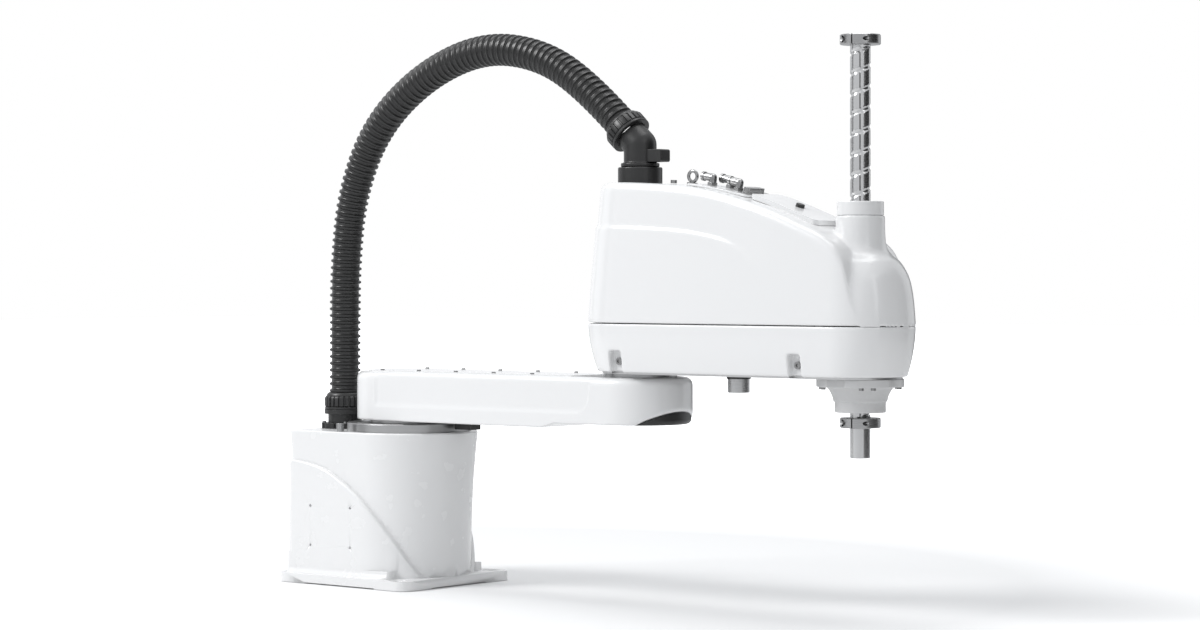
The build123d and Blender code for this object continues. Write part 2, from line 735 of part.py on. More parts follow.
def flank_step(side):
    """Long shallow wedge that sets the upper flank in above its crease."""
    crease = Spline(
        (J2_X - 70, SEAM_Z + 98.0),
        (J2_X + 0.16 * LINK_2, SEAM_Z + 94.5),
        (J2_X + 0.39 * LINK_2, SEAM_Z + 89.0),
        (J2_X + 0.57 * LINK_2, SEAM_Z + 77.0),
        (J2_X + 0.68 * LINK_2, SEAM_Z + 56.0),
    )
    last = (J2_X + 0.68 * LINK_2, SEAM_Z + 56.0)
    far = (last[0] + 13, HOUSING_TOP + 9)
    back = (J2_X - 70, HOUSING_TOP + 9)
    edge = crease + Line(last, far) + Line(far, back) + Line(back, (J2_X - 70, SEAM_Z + 98.0))
    slab = side_slab(make_face(Plane.XZ * edge), 20)
    lean = degrees(atan2(2.4, 0.69 * LINK_2))
    middle = HOUSING_R - TOP_SIDE_IN * 0.65 + 10 - 2.0
    return Pos(J2_X, side * middle, 0) * Rot(0, 0, side * lean) * Pos(-J2_X, 0, 0) * slab


def upper_cover():
    outer = upper_form()
    for side in (-1, 1):
        outer -= flank_step(side)
    shell = outer - Pos(0, 0, -0.01) * upper_form(HOUSING_WALL)
    shell -= block(J2_X - 80, J3_X + 80, -80, 80, SEAM_Z - 20, SEAM_Z + SEAM_GAP / 2)
    shell -= rod(NECK_R - HOUSING_WALL, SEAM_Z, NECK_TOP + 5, J3_X)
    return shell


def notch(x, side, grow=0.0):
    """Pocket in the skirt that holds a cover screw."""
    half = NOTCH_WIDTH / 2 + grow
    y0, y1 = sorted((side * (HOUSING_R - NOTCH_DEPTH - grow), side * (HOUSING_R + 5)))
    return block(x - half, x + half, y0, y1, RIM_Z - 1, NOTCH_TOP + grow)


def lower_cover():
    outer = shell_loft(RIM_Z, SEAM_Z, 3)
    shell = outer - shell_loft(RIM_Z, SEAM_Z, 3, HOUSING_WALL)
    shell -= block(J2_X - 80, J3_X + 80, -80, 80, SEAM_Z - SEAM_GAP / 2, SEAM_Z + 20)
    for x in NOTCHES:
        for side in (-1, 1):
            shell += notch(x, side, NOTCH_WALL) & outer
            shell -= notch(x, side)
            seat = (x, side * (HOUSING_R - NOTCH_DEPTH), NOTCH_SCREW_Z)
            shell -= shank(*seat, 3.6, 1.9, (-90 * side, 0, 0))
    return shell


NOTCHES = (J2_X + NOTCH_REAR, J3_X - NOTCH_FRONT)

add("arm_2_lower_cover", lower_cover())


# Arm 2 inside: cast frame, motor shelf, motors, belts and the two nuts
def arm_2_frame():
    plate = extrude(section(RIM_Z, HOUSING_WALL + FRAME_CLEAR), FRAME_T)
    plate = Pos(0, 0, FRAME_Z - RIM_Z) * plate
    for share in (0.225, 0.378, 0.553):
        x = J2_X + share * LINK_2
        window = block(x, x + 0.11 * LINK_2, -24, 24, FRAME_Z - 1, FRAME_Z + FRAME_T + 1)
        plate -= fillet(window.edges().filter_by(Axis.Z), 6)
    plate -= rod(MOTOR_2_SIZE * PILOT + FACE_GAP, FRAME_Z - 1, FRAME_TOP + 1, J2_X)
    plate -= rod(NUT_R + 1.0, FRAME_Z - 1, FRAME_Z + FRAME_T + 1, J3_X)
    for x in NOTCHES:
        for side in (-1, 1):
            plate -= notch(x, side, NOTCH_WALL + FACE_GAP)
            back = HOUSING_R - NOTCH_DEPTH - NOTCH_WALL - FACE_GAP
            y0, y1 = sorted((side * (back - 8), side * back))
            plate += block(x - 7, x + 7, y0, y1, FRAME_Z + 1, NOTCH_TOP - 2)
    for x, y in POSTS:
        plate += rod(POST_D / 2, FRAME_Z + FRAME_T - 1, SHELF_Z, x, y)
    return plate


POSTS = [(J3_X - x, y) for x in (20.0, 158.0) for y in (-37.0, 37.0)]
SHELF_TOP = SHELF_Z + SHELF_T
MOTOR_U_X = J3_X - MOTOR_U_AT
MOTOR_Z_X = J3_X - MOTOR_Z_AT
BEARING_R = NUT_R + 6.0


def motor_shelf():
    shelf = Pos(0, 0, SHELF_Z) * extrude(slot_plan(J3_X - 172, J3_X + 44, 44), SHELF_T)
    shelf -= rod(BEARING_R, SHELF_Z - 1, SHELF_TOP + 1, J3_X)
    for x in (MOTOR_U_X, MOTOR_Z_X):
        shelf -= rod(MOTOR_3_SIZE * PILOT + FACE_GAP, SHELF_Z - 1, SHELF_TOP + 1, x)
    return shelf


def pulley(teeth, bore, z):
    """Toothed belt pulley with a flange each side, centred on z."""
    radius = teeth * BELT_PITCH / (2 * pi)
    half = BELT_W / 2 + 0.5
    body = Cylinder(radius, 2 * half)
    for side in (-1, 1):
        body += Pos(0, 0, side * (half + PULLEY_FLANGE / 2)) * Cylinder(radius + 2, PULLEY_FLANGE)
    return Pos(0, 0, z) * (body - Cylinder(bore, 3 * BELT_W))


def belt(x, z):
    """Closed belt from the nut pulley at joint 3 to a motor pulley at x."""
    gap = 0.15
    small = MOTOR_TEETH * BELT_PITCH / (2 * pi) + gap
    large = NUT_TEETH * BELT_PITCH / (2 * pi) + gap
    outer = link_plan(small + BELT_T, large + BELT_T, x, J3_X)
    inner = link_plan(small, large, x, J3_X)
    return Pos(0, 0, z - BELT_W / 2) * extrude(outer - inner, BELT_W)


def ring_bearing(z0, width):
    return rod(BEARING_R - 0.02, z0, z0 + width, J3_X, 0, NUT_R + SHAFT_FIT)


def spline_nut():
    low = NUT_RING_BOTTOM + 2.0
    body = rod(NUT_R, low, BELT_U_Z + 8, J3_X)
    body += rod(NUT_FLANGE_R, FRAME_TOP + 0.6, FRAME_TOP + 3.6, J3_X)
    return body - rod(SHAFT_D / 2 + SHAFT_FIT, low - 1, BELT_U_Z + 9, J3_X)


def ball_nut():
    low = BELT_Z_Z - 8
    body = rod(NUT_R, low, low + BALL_NUT_LENGTH, J3_X)
    body += rod(NUT_FLANGE_R, SHELF_TOP + 0.6, SHELF_TOP + 4.6, J3_X)
    return body - rod(SHAFT_D / 2 + SHAFT_FIT, low - 1, low + BALL_NUT_LENGTH + 1, J3_X)


def nut_housing():
    """Lobed flange under the frame, a flared throat and the bearing ring."""
    ring_top = NUT_RING_BOTTOM + NUT_RING_H
    flange_low = FRAME_Z - NUT_FLANGE_T
    edge = (
        Line((0, NUT_RING_BOTTOM), (NUT_RING_R, NUT_RING_BOTTOM))
        + Line((NUT_RING_R, NUT_RING_BOTTOM), (NUT_RING_R, ring_top))
        + Line((NUT_RING_R, ring_top), (NUT_RING_R + 1.6, ring_top))
        + Spline(
            (NUT_RING_R + 1.6, ring_top),
            (NUT_RING_R + 4.0, ring_top + 8.0),
            (NUT_RING_R + 11.0, flange_low + 0.5),
            tangents=((0, 1), (1, 0.15)),
        )
        + Line((NUT_RING_R + 11.0, flange_low + 0.5), (NUT_RING_R + 11.0, FRAME_Z))
        + Line((NUT_RING_R + 11.0, FRAME_Z), (0, FRAME_Z))
        + Line((0, FRAME_Z), (0, NUT_RING_BOTTOM))
    )
    throat = revolve(make_face(Plane.XZ * edge), Axis.Z, 360)
    flange = Circle(NUT_HOUSING_R)
    for x, y in ring_of(4, NUT_HOUSING_R + 9.0):
        flange -= Pos(x, y) * Circle(15.0)
    body = throat + Pos(0, 0, flange_low) * extrude(flange, NUT_FLANGE_T)
    body -= rod(BEARING_R, NUT_RING_BOTTOM + 4, FRAME_Z + 1)
    body -= rod(NUT_R + 0.6, NUT_RING_BOTTOM - 1, FRAME_Z + 1)
    body = Pos(J3_X, 0, 0) * body
    for x, y in nut_screw_places():
        body -= shank(x, y, flange_low, 2.4, 7.0, (180, 0, 0))
    return body


def nut_screw_places():
    return [
        (J3_X + x, y)
        for lobe in (45, 135, 225, 315)
        for x, y in (ring_of(1, NUT_HOUSING_R - 5.0, lobe - 9) + ring_of(1, NUT_HOUSING_R - 5.0, lobe + 9))
    ]


add("arm_2_frame", arm_2_frame())
add("motor_shelf", motor_shelf())
add(
    "arm_2_cover_screws",
    *[
        screw(x, side * (HOUSING_R - NOTCH_DEPTH), NOTCH_SCREW_Z, 3.6, 2.6, 1.9, (-90 * side, 0, 0))
        for x in NOTCHES
        for side in (-1, 1)
    ],
)
add("j2_motor", motor(MOTOR_2_SIZE, MOTOR_2_LENGTH, FRAME_TOP, J2_X, False, 6.0, 24.0))
add("u_motor", motor(MOTOR_3_SIZE, MOTOR_U_LENGTH, SHELF_TOP, MOTOR_U_X, False, 3.0, SHELF_TOP - BELT_U_Z + 6))
add("z_motor", motor(MOTOR_3_SIZE, MOTOR_Z_LENGTH, SHELF_TOP, MOTOR_Z_X, False, 3.0, SHELF_TOP - BELT_Z_Z + 6))
add("u_belt", belt(MOTOR_U_X, BELT_U_Z))
add("z_belt", belt(MOTOR_Z_X, BELT_Z_Z))
add("u_motor_pulley", Pos(MOTOR_U_X, 0, 0) * pulley(MOTOR_TEETH, 3.05, BELT_U_Z))
add("z_motor_pulley", Pos(MOTOR_Z_X, 0, 0) * pulley(MOTOR_TEETH, 3.05, BELT_Z_Z))
add("spline_nut", spline_nut())
add("spline_nut_pulley", Pos(J3_X, 0, 0) * pulley(NUT_TEETH, NUT_R + 0.02, BELT_U_Z))
add("ball_nut", ball_nut())
add("ball_nut_pulley", Pos(J3_X, 0, 0) * pulley(NUT_TEETH, NUT_R + 0.02, BELT_Z_Z))
add("ball_nut_bearing", ring_bearing(SHELF_Z, SHELF_T))
add("spline_nut_bearing", ring_bearing(NUT_RING_BOTTOM + 4.2, BEARING_W))
add("nut_housing", nut_housing())
add(
    "nut_housing_screws",
    *[screw(x, y, FRAME_Z - NUT_FLANGE_T, 2.4, 2.4, 6.0, (180, 0, 0)) for x, y in nut_screw_places()],
)
add("j2_stop_stud", rod(STUD_D / 2, STUD_BOTTOM, FRAME_Z, J2_X + STUD_AT, 0, 4.0))


# Shaft: hollow ball screw spline with a collar at each end of its travel
def shaft():
    bar = rod(SHAFT_D / 2, SHAFT_BOTTOM, SHAFT_TOP, 0, 0)
    bar = chamfer(bar.edges().group_by(Axis.Z)[0] + bar.edges().group_by(Axis.Z)[-1], 0.8)
    bar -= rod(SHAFT_BORE / 2, SHAFT_BOTTOM - 1, SHAFT_TOP + 1)
    low = LOW_COLLAR_Z + COLLAR_T
    for x, y in ring_of(SPLINE_COUNT, SHAFT_D / 2 + 0.6, 250.0):
        bar -= rod(SPLINE_GROOVE_R, low, SHAFT_TOP - COLLAR_T - 2, x, y)
    # relief where the ground tool end begins, under the lower collar
    edge = LOW_COLLAR_Z - RELIEF_W / 2
    bar -= rod(SHAFT_D / 2 + 1, edge, edge + RELIEF_W, 0, 0, SHAFT_D / 2 - RELIEF_DEPTH)
    return Pos(J3_X, 0, 0) * bar


def collar(z0):
    """Split clamp collar with a hole for its screw."""
    ring = rod(COLLAR_D / 2, z0, z0 + COLLAR_T, 0, 0, SHAFT_D / 2 + 0.01)
    ring = chamfer(ring.edges().filter_by(GeomType.CIRCLE).sort_by(SortBy.RADIUS)[-2:], 0.8)
    ring -= block(0, COLLAR_D, -0.7, 0.7, z0 - 1, z0 + COLLAR_T + 1)
    hole = Pos(COLLAR_D / 2 - 5, 0, z0 + COLLAR_T / 2) * Rot(90, 0, 0)
    ring -= hole * Cylinder(2.1, COLLAR_D)
    ring -= hole * Pos(0, 0, 9) * Cylinder(3.6, 8)
    return Pos(J3_X, 0, 0) * Rot(0, 0, -80) * ring


def collar_screw(z0):
    hole = Pos(COLLAR_D / 2 - 5, 0, z0 + COLLAR_T / 2) * Rot(90, 0, 0)
    body = Cylinder(2.0, 20) + Pos(0, 0, 7) * Cylinder(3.4, 3.6)
    body -= Pos(0, 0, 8) * extrude(RegularPolygon(1.7, 6), 4)
    return Pos(J3_X, 0, 0) * Rot(0, 0, -80) * hole * body


add("shaft", shaft())
add("upper_collar", collar(HIGH_COLLAR_Z))
add("lower_collar", collar(LOW_COLLAR_Z))
add("collar_screws", collar_screw(HIGH_COLLAR_Z), collar_screw(LOW_COLLAR_Z))


def neck_cap():
    """Cap ring on the neck, with a close hole for the shaft."""
    z1 = NECK_TOP + NECK_CAP_H
    cap = rod(NECK_R - 1.0, NECK_TOP, z1)
    cap = fillet(cap.edges().group_by(Axis.Z)[-1], 1.2)
    cap += rod(NECK_R - HOUSING_WALL - FACE_GAP, NECK_TOP - 6, NECK_TOP + 1)
    cap -= rod(NECK_R - HOUSING_WALL - 3, NECK_TOP - 7, z1 - 3)
    return Pos(J3_X, 0, 0) * (cap - rod(SHAFT_D / 2 + 0.8, NECK_TOP - 8, z1 + 1))


add("neck_cap", neck_cap())


# On top of the housing: service panel, air fittings, connector, button cover
def crest_plate(thick, x0, x1, half, corner):
    """Plate that follows the housing top."""
    plate = side_slab(top_profile(-thick) - top_profile(-0.05), 2 * half)
    plate &= block(x0, x1, -half, half, SEAM_Z + 60, HOUSING_TOP + 20)
    return fillet(plate.edges().filter_by(Axis.Z), corner)


def elbow_fitting(x, y):
    """Push-in elbow for a small air tube, closed by its release ring."""
    stem = Cylinder(4.0, 8, align=UP) + extrude(RegularPolygon(5.4, 6), 3)
    arm = Pos(0, 0, 8) * Rot(0, -90, 0) * Cylinder(4.0, 11, align=UP)
    ring = Pos(-10, 0, 8) * Rot(0, -90, 0) * Cylinder(4.8, 3, align=UP)
    fitting = stem + Pos(0, 0, 8) * Sphere(4.0) + arm + ring
    fitting -= Pos(-11, 0, 8) * Rot(0, -90, 0) * Cylinder(2.6, 3, align=UP)
    return on_crest(x, y) * Pos(0, 0, PANEL_T) * fitting


def lifting_eye():
    eye = Cylinder(5.5, 2, align=UP) + Pos(0, 0, 8.4) * Rot(90, 0, 0) * Torus(5.4, 1.7)
    eye += Cylinder(2.4, 4.5, align=UP)
    return on_crest(EYE_X, 0) * Pos(0, 0, 0.1) * eye


def user_connector():
    """Fifteen pin socket in its metal shell, on the service panel."""
    shell = extrude(RectangleRounded(12, 39, 1.5), 1.2)
    shell += Pos(0, 0, 1) * extrude(RectangleRounded(8.6, 26, 2.4), 5)
    for row, count in ((-1.4, 8), (1.4, 7)):
        for i in range(count):
            y = (i - (count - 1) / 2) * 2.76
            shell -= Pos(row, y, 4.5) * Cylinder(0.5, 3, align=UP)
    return on_crest(CONNECTOR_X, 0) * Pos(0, 0, PANEL_T) * shell


def button_hole():
    return on_crest(BUTTON_X, 0) * Cylinder(BUTTON_R + FACE_GAP, 40)


def button():
    body = Pos(0, 0, -4) * Cylinder(BUTTON_R, BUTTON_COVER_T + 4 + BUTTON_PROUD, align=UP)
    body = fillet(body.edges().filter_by(GeomType.CIRCLE).sort_by(Axis.Z)[-1:], 0.8)
    return on_crest(BUTTON_X, 0) * body


EYE_X = J2_X + 0.247 * LINK_2
PANEL_X = J2_X + 0.29 * LINK_2
PANEL_T = 2.0
CONNECTOR_X = J2_X + 0.527 * LINK_2
BUTTON_COVER_X = J2_X + 0.582 * LINK_2
BUTTON_COVER_END = J3_X - 34.0
BUTTON_COVER_T = 5.0
BUTTON_X = J2_X + 0.731 * LINK_2
BUTTON_R = 4.5
BUTTON_PROUD = 3.0

add("arm_2_upper_cover", upper_cover() - button_hole())
add("service_panel", crest_plate(PANEL_T, PANEL_X, BUTTON_COVER_X - 4, 26.0, 4.0))
add("air_fittings", *[elbow_fitting(PANEL_X + (0.06 + 0.06 * i) * LINK_2, 9 * (i % 2) - 4) for i in range(3)])
add("user_connector", user_connector())
add("lifting_eye", lifting_eye())
add("earth_screw", on_crest(J2_X + 0.16 * LINK_2, 0) * Pos(0, 0, 0.1) * screw(0, 0, 0, 3.2, 3.4, 0.05))
add(
    "button_cover",
    crest_plate(BUTTON_COVER_T, BUTTON_COVER_X, BUTTON_COVER_END, 26.0, 6.0) - button_hole(),
)
add("brake_release_button", button())


# Conduit: glands at both ends and the corrugated hose between them
def lower_gland():
    body = rod(GLAND_FLANGE_R, 0, GLAND_FLANGE_T)
    for x, y in ring_of(8, GLAND_FLANGE_R + 0.5, 22.5):
        body -= rod(3.4, -1, GLAND_FLANGE_T + 1, x, y)
    body += rod(HOSE_D / 2 + 1.5, 0, GLAND_BODY_H)
    body += rod(GLAND_NUT_R, GLAND_BODY_H - 5, GLAND_BODY_H)
    body -= rod(HOSE_D / 2 - HOSE_WALL, -1, GLAND_BODY_H + 1)
    body = Pos(HOSE_X, HOSE_BASE_Y, BASE_TOP) * body
    for place in gland_screw_places():
        body -= shank(*place, GLAND_SCREW_R, GLAND_SCREW_DEPTH)
    return body - rod(J1_RING_D / 2 + FACE_GAP, BASE_TOP - 1, BASE_TOP + 30, J1_X)


def gland_nut():
    """Ribbed union nut, as one plain ring with grip flats."""
    body = rod(GLAND_NUT_R, 0, GLAND_NUT_H)
    body = chamfer(body.edges().group_by(Axis.Z)[-1], 2.0)
    for x, y in ring_of(18, GLAND_NUT_R + 1.0):
        body -= rod(1.7, -1, GLAND_NUT_H - 4, x, y)
    return body - rod(HOSE_D / 2 - HOSE_WALL, -1, GLAND_NUT_H + 1)


def elbow_place():
    centre = Pos(J2_X, 0, HOUSING_TOP + SOCKET_H + ELBOW_RISE)
    return centre * Rot(0, -ELBOW_TILT, 0)


def elbow():
    low = HOUSING_TOP + SOCKET_H + FACE_GAP
    top = HOUSING_TOP + SOCKET_H + ELBOW_RISE
    body = rod(ELBOW_R, low, top, J2_X) + Pos(J2_X, 0, top) * Sphere(ELBOW_R)
    body += rod(ELBOW_R + 3, low, low + 4, J2_X)
    body += elbow_place() * Cylinder(ELBOW_R, ELBOW_REACH, align=UP)
    body -= rod(ELBOW_R - 5, low - 1, top, J2_X)
    return body


add("conduit_lower_gland", lower_gland())
add(
    "conduit_gland_screws",
    *[screw(*place, GLAND_SCREW_R, 2.0, GLAND_SCREW_DEPTH) for place in gland_screw_places()],
)
add("conduit_lower_nut", Pos(HOSE_X, HOSE_BASE_Y, BASE_TOP + GLAND_BODY_H) * gland_nut())
socket = rod(SOCKET_R, HOUSING_TOP, HOUSING_TOP + SOCKET_H, J2_X)
socket = fillet(socket.edges().group_by(Axis.Z)[-1], 1.5)
add("conduit_socket", socket)
add("conduit_elbow", elbow())
latch = block(J2_X + ELBOW_R - 4, J2_X + 33, -8, 8, HOUSING_TOP + 22, HOUSING_TOP + 35)
latch -= rod(ELBOW_R + 0.1, HOUSING_TOP, HOUSING_TOP + 60, J2_X)
add("conduit_latch", fillet(latch.edges().filter_by(Axis.Y).group_by(Axis.X)[-1], 2.0))
add("conduit_upper_nut", elbow_place() * Pos(0, 0, ELBOW_REACH) * gland_nut())


def hose_route():
    """Hand chosen points of the conduit, from the lower nut to the upper nut."""
    start = BASE_TOP + GLAND_BODY_H + GLAND_NUT_H + 0.1
    end = elbow_place() * Pos(0, 0, ELBOW_REACH + GLAND_NUT_H + 0.1)
    entry = end * Pos(0, 0, HOSE_ENTRY)
    run = [
        (HOSE_X, start),
        (HOSE_X, start + 66.0),
        (J1_X - 89.0, 350.0),
        (J1_X - 79.0, 427.0),
        (J1_X - 43.0, 500.0),
        (J1_X + 27.0, 554.0),
        (J1_X + 113.0, 582.0),
        (J1_X + 194.0, 570.0),
        (entry.position.X, entry.position.Z),
    ]
    span = entry.position.X - HOSE_X
    bend = [(x, HOSE_BASE_Y * (1 - (x - HOSE_X) / span), z) for x, z in run]
    return bend + [(end.position.X, 0.0, end.position.Z)]


def hose():
    points = [Vector(*p) for p in hose_route()]
    radii = []
    for before, here, after in zip(points, points[1:], points[2:]):
        one, two = here - before, after - here
        turn = radians(one.get_angle(two))
        radii.append(0.45 * min(one.length, two.length) / tan(turn / 2))
    path = FilletPolyline(*points, radius=radii)
    ring = Plane(origin=path @ 0, z_dir=path % 0) * Circle(HOSE_D / 2)
    tube = sweep(ring, path)
    print("conduit length", round(path.length, 1), "radii", [round(r) for r in radii])
    print("conduit volume ratio", round(tube.volume / (pi * (HOSE_D / 2) ** 2 * path.length), 4))
    return tube


add("conduit", hose())


for name, solids in nodes.items():
    export_step(Compound(children=solids) if len(solids) > 1 else solids[0], f"parts/{name}.step")
    print(name, len(solids), round(sum(s.volume for s in solids)))
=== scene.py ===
import bpy
import bmesh
import json
from math import cos, pi, radians, sin
from mathutils import Matrix, Vector


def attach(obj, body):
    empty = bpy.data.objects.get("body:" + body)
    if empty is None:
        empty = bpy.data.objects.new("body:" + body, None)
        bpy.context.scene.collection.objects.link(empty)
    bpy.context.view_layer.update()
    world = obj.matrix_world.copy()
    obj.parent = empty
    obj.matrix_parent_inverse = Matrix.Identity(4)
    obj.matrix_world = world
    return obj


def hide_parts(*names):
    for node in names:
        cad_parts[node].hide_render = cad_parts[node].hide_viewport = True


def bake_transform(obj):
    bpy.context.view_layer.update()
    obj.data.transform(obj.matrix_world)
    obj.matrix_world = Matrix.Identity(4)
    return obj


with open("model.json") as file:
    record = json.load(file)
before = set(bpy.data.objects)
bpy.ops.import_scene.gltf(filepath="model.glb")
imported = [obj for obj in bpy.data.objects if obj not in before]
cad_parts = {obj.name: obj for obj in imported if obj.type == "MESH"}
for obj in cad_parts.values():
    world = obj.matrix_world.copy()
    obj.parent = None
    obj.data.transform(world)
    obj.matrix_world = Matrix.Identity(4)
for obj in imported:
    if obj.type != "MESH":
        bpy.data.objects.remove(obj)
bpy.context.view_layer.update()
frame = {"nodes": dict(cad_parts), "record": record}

# Places in millimetres, in the frame of the CAD part
J1, J2, J3 = 22.0, 347.0, 622.0
SEAM, TOP = 287.8, 431.0
HALF = 54.0
NECK_TOP = 395.4
STUD_X = J2 + 127
MM = 0.001


# Finishes
class Wire:
    """Output of a shader node that takes part in Python sums."""

    def __init__(self, finish, socket):
        self.finish, self.socket = finish, socket

    def maths(self, operation, *values):
        return self.finish.node("ShaderNodeMath", {"operation": operation}, dict(enumerate(values)))

    def __add__(self, other):
        return self.maths("ADD", self, other)

    def __sub__(self, other):
        return self.maths("SUBTRACT", self, other)

    def __rsub__(self, other):
        return self.maths("SUBTRACT", other, self)

    def __mul__(self, other):
        return self.maths("MULTIPLY", self, other)

    def __truediv__(self, other):
        return self.maths("DIVIDE", self, other)

    def __pow__(self, other):
        return self.maths("POWER", self, other)

    __radd__ = __add__
    __rmul__ = __mul__


class Finish:
    """Procedural material around one Principled shader."""

    def __init__(self, name, **constants):
        self.material = bpy.data.materials.new(name)
        self.material.use_nodes = True
        self.tree = self.material.node_tree
        self.shader = self.tree.nodes["Principled BSDF"]
        for key, value in constants.items():
            self.shader.inputs[key.replace("_", " ")].default_value = value
        self.place = self.node("ShaderNodeTexCoord", out="Object")

    def node(self, kind, settings=None, values=None, out=0):
        made = self.tree.nodes.new(kind)
        for key, value in (settings or {}).items():
            setattr(made, key, value)
        for key, value in (values or {}).items():
            self.link(made.inputs[key], value)
        return Wire(self, made.outputs[out])

    def link(self, socket, value):
        if isinstance(value, Wire):
            self.tree.links.new(value.socket, socket)
        else:
            socket.default_value = value

    def feed(self, name, value):
        self.link(self.shader.inputs[name], value)

    def noise(self, scale, detail=2.0, stretch=None):
        where = self.place
        if stretch:
            where = self.node("ShaderNodeMapping", values={"Vector": where, "Scale": stretch})
        return self.node("ShaderNodeTexNoise", values={"Vector": where, "Scale": scale, "Detail": detail})

    def tint(self, factor, a, b):
        return self.node("ShaderNodeMix", {"data_type": "RGBA"}, {0: factor, 6: (*a, 1), 7: (*b, 1)}, 2)

    def bump(self, height, depth, strength=1.0):
        values = {"Height": height, "Distance": depth, "Strength": strength}
        self.feed("Normal", self.node("ShaderNodeBump", values=values, out="Normal"))

    def axis(self, name, shift=(0, 0, 0)):
        where = self.node("ShaderNodeMapping", values={"Vector": self.place, "Location": shift})
        return self.node("ShaderNodeSeparateXYZ", values={0: where}, out=name)


def grey(tone, blue=0.0):
    return (tone, tone + blue * 0.4, tone + blue)


def gloss_paint(name, tone, rough=0.22):
    """White baked paint: faint clouds, orange peel and a clear coat."""
    paint = Finish(name, Coat_Weight=0.3, Coat_Roughness=0.1)
    paint.feed("Base Color", paint.tint(paint.noise(11.0, 3.0), grey(tone), grey(tone * 0.992, 0.002)))
    paint.feed("Roughness", paint.noise(46.0, 4.0) * 0.03 + (rough - 0.015))
    paint.bump(paint.noise(420.0, 2.0) + paint.noise(1500.0, 1.0) * 0.3, 0.00004, 0.25)
    return paint.material


def cast_paint(name, tone):
    """Matt paint over a fine sand casting."""
    cast = Finish(name)
    cast.feed("Base Color", cast.tint(cast.noise(300.0, 4.0), grey(tone * 0.93), grey(tone)))
    cast.feed("Roughness", cast.noise(90.0, 3.0) * 0.15 + 0.38)
    cast.bump(cast.noise(1100.0, 3.0), 0.00012, 0.5)
    return cast.material


def turned_steel(name, tone, rough, centre):
    """Steel with fine turning marks round an upright axis."""
    steel = Finish(name, Metallic=1.0)
    shift = (-centre * MM, 0, 0)
    x, y = steel.axis("X", shift), steel.axis("Y", shift)
    ring = (x * x + y * y) ** 0.5 + steel.axis("Z") * 0.9
    grain = {"W": ring, "Scale": 2600.0, "Detail": 3.0}
    lines = steel.node("ShaderNodeTexNoise", {"noise_dimensions": "1D"}, grain)
    steel.feed("Base Color", steel.tint(lines, grey(tone * 0.88), grey(tone, 0.006)))
    steel.feed("Roughness", lines * 0.16 + steel.noise(35.0) * 0.08 + (rough - 0.1))
    steel.bump(lines, 0.00003, 0.3)
    return steel.material


def plated(name, tone, rough):
    """Bright plating with small clouds in its polish."""
    plate = Finish(name, Metallic=1.0)
    plate.feed("Base Color", plate.tint(plate.noise(160.0, 3.0), grey(tone * 0.9), grey(tone)))
    plate.feed("Roughness", plate.noise(240.0, 3.0) * 0.2 + (rough - 0.08))
    plate.bump(plate.noise(700.0), 0.00003, 0.2)
    return plate.material


def moulded(name, tone, rough, grain=0.5):
    """Moulded plastic with a fine spark-eroded grain."""
    plastic = Finish(name)
    plastic.feed("Base Color", plastic.tint(plastic.noise(60.0, 3.0), grey(tone * 0.8), grey(tone * 1.2)))
    plastic.feed("Roughness", plastic.noise(500.0, 2.0) * 0.14 + (rough - 0.07))
    plastic.bump(plastic.noise(1400.0, 2.0), 0.00008, grain)
    return plastic.material


def woven_rubber(name):
    """Belt rubber with a cross grain."""
    rubber = Finish(name)
    rubber.feed("Base Color", rubber.tint(rubber.noise(900.0), grey(0.018), grey(0.035)))
    rubber.feed("Roughness", rubber.noise(400.0) * 0.2 + 0.6)
    rubber.bump(rubber.noise(900.0, 2.0, (1, 1, 0.2)), 0.0001, 0.6)
    return rubber.material


WHITE = gloss_paint("baked_white", 0.80)
WHITE_BASE = gloss_paint("baked_white_casting", 0.79, 0.27)
GREY_CAST = cast_paint("grey_casting", 0.6)
RAW = plated("milled_aluminium", 0.62, 0.34)
DISC = turned_steel("turned_disc", 0.42, 0.3, J1)
STUD = turned_steel("turned_stud", 0.5, 0.28, STUD_X)
COLLAR = turned_steel("turned_collar", 0.4, 0.26, J3)
SHAFT = turned_steel("ground_shaft", 0.62, 0.2, J3)
CHROME = plated("nickel_plate", 0.34, 0.2)
SCREW = plated("zinc_screw", 0.32, 0.3)
DARK = plated("black_oxide", 0.06, 0.4)
MOTOR = moulded("motor_black", 0.03, 0.4)
PLASTIC = moulded("black_plastic", 0.016, 0.36)
HOSE = moulded("conduit_black", 0.02, 0.34, 0.25)
RUBBER = woven_rubber("belt_rubber")


# Shapes
ALL_WAYS = {"use_axis_x": True, "use_axis_y": True, "use_axis_z": True}


def new_piece(name, bm, material, body, nodes=(), angle=35.0):
    """Turns a bmesh in millimetres into a finished piece that rides on a body."""
    bmesh.ops.scale(bm, vec=(MM,) * 3, verts=bm.verts)
    mesh = bpy.data.meshes.new(name)
    bm.to_mesh(mesh)
    bm.free()
    piece = bpy.data.objects.new(name, mesh)
    bpy.context.scene.collection.objects.link(piece)
    mesh.materials.append(material)
    shade(piece, angle)
    if body:
        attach(piece, body)
    if nodes:
        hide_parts(*nodes)
    return piece


def shade(piece, angle):
    for face in piece.data.polygons:
        face.use_smooth = True
    piece.data.set_sharp_from_angle(angle=radians(angle))


def settle(piece):
    """Applies the modifiers of a piece to its mesh."""
    seen = piece.evaluated_get(bpy.context.evaluated_depsgraph_get())
    mesh = bpy.data.meshes.new_from_object(seen)
    piece.modifiers.clear()
    piece.data = mesh


def level(piece, angle):
    """Smooth shading that keeps large flat faces flat."""
    shade(piece, angle)
    even = piece.modifiers.new("even", "WEIGHTED_NORMAL")
    even.keep_sharp = True
    even.weight = 90
    settle(piece)


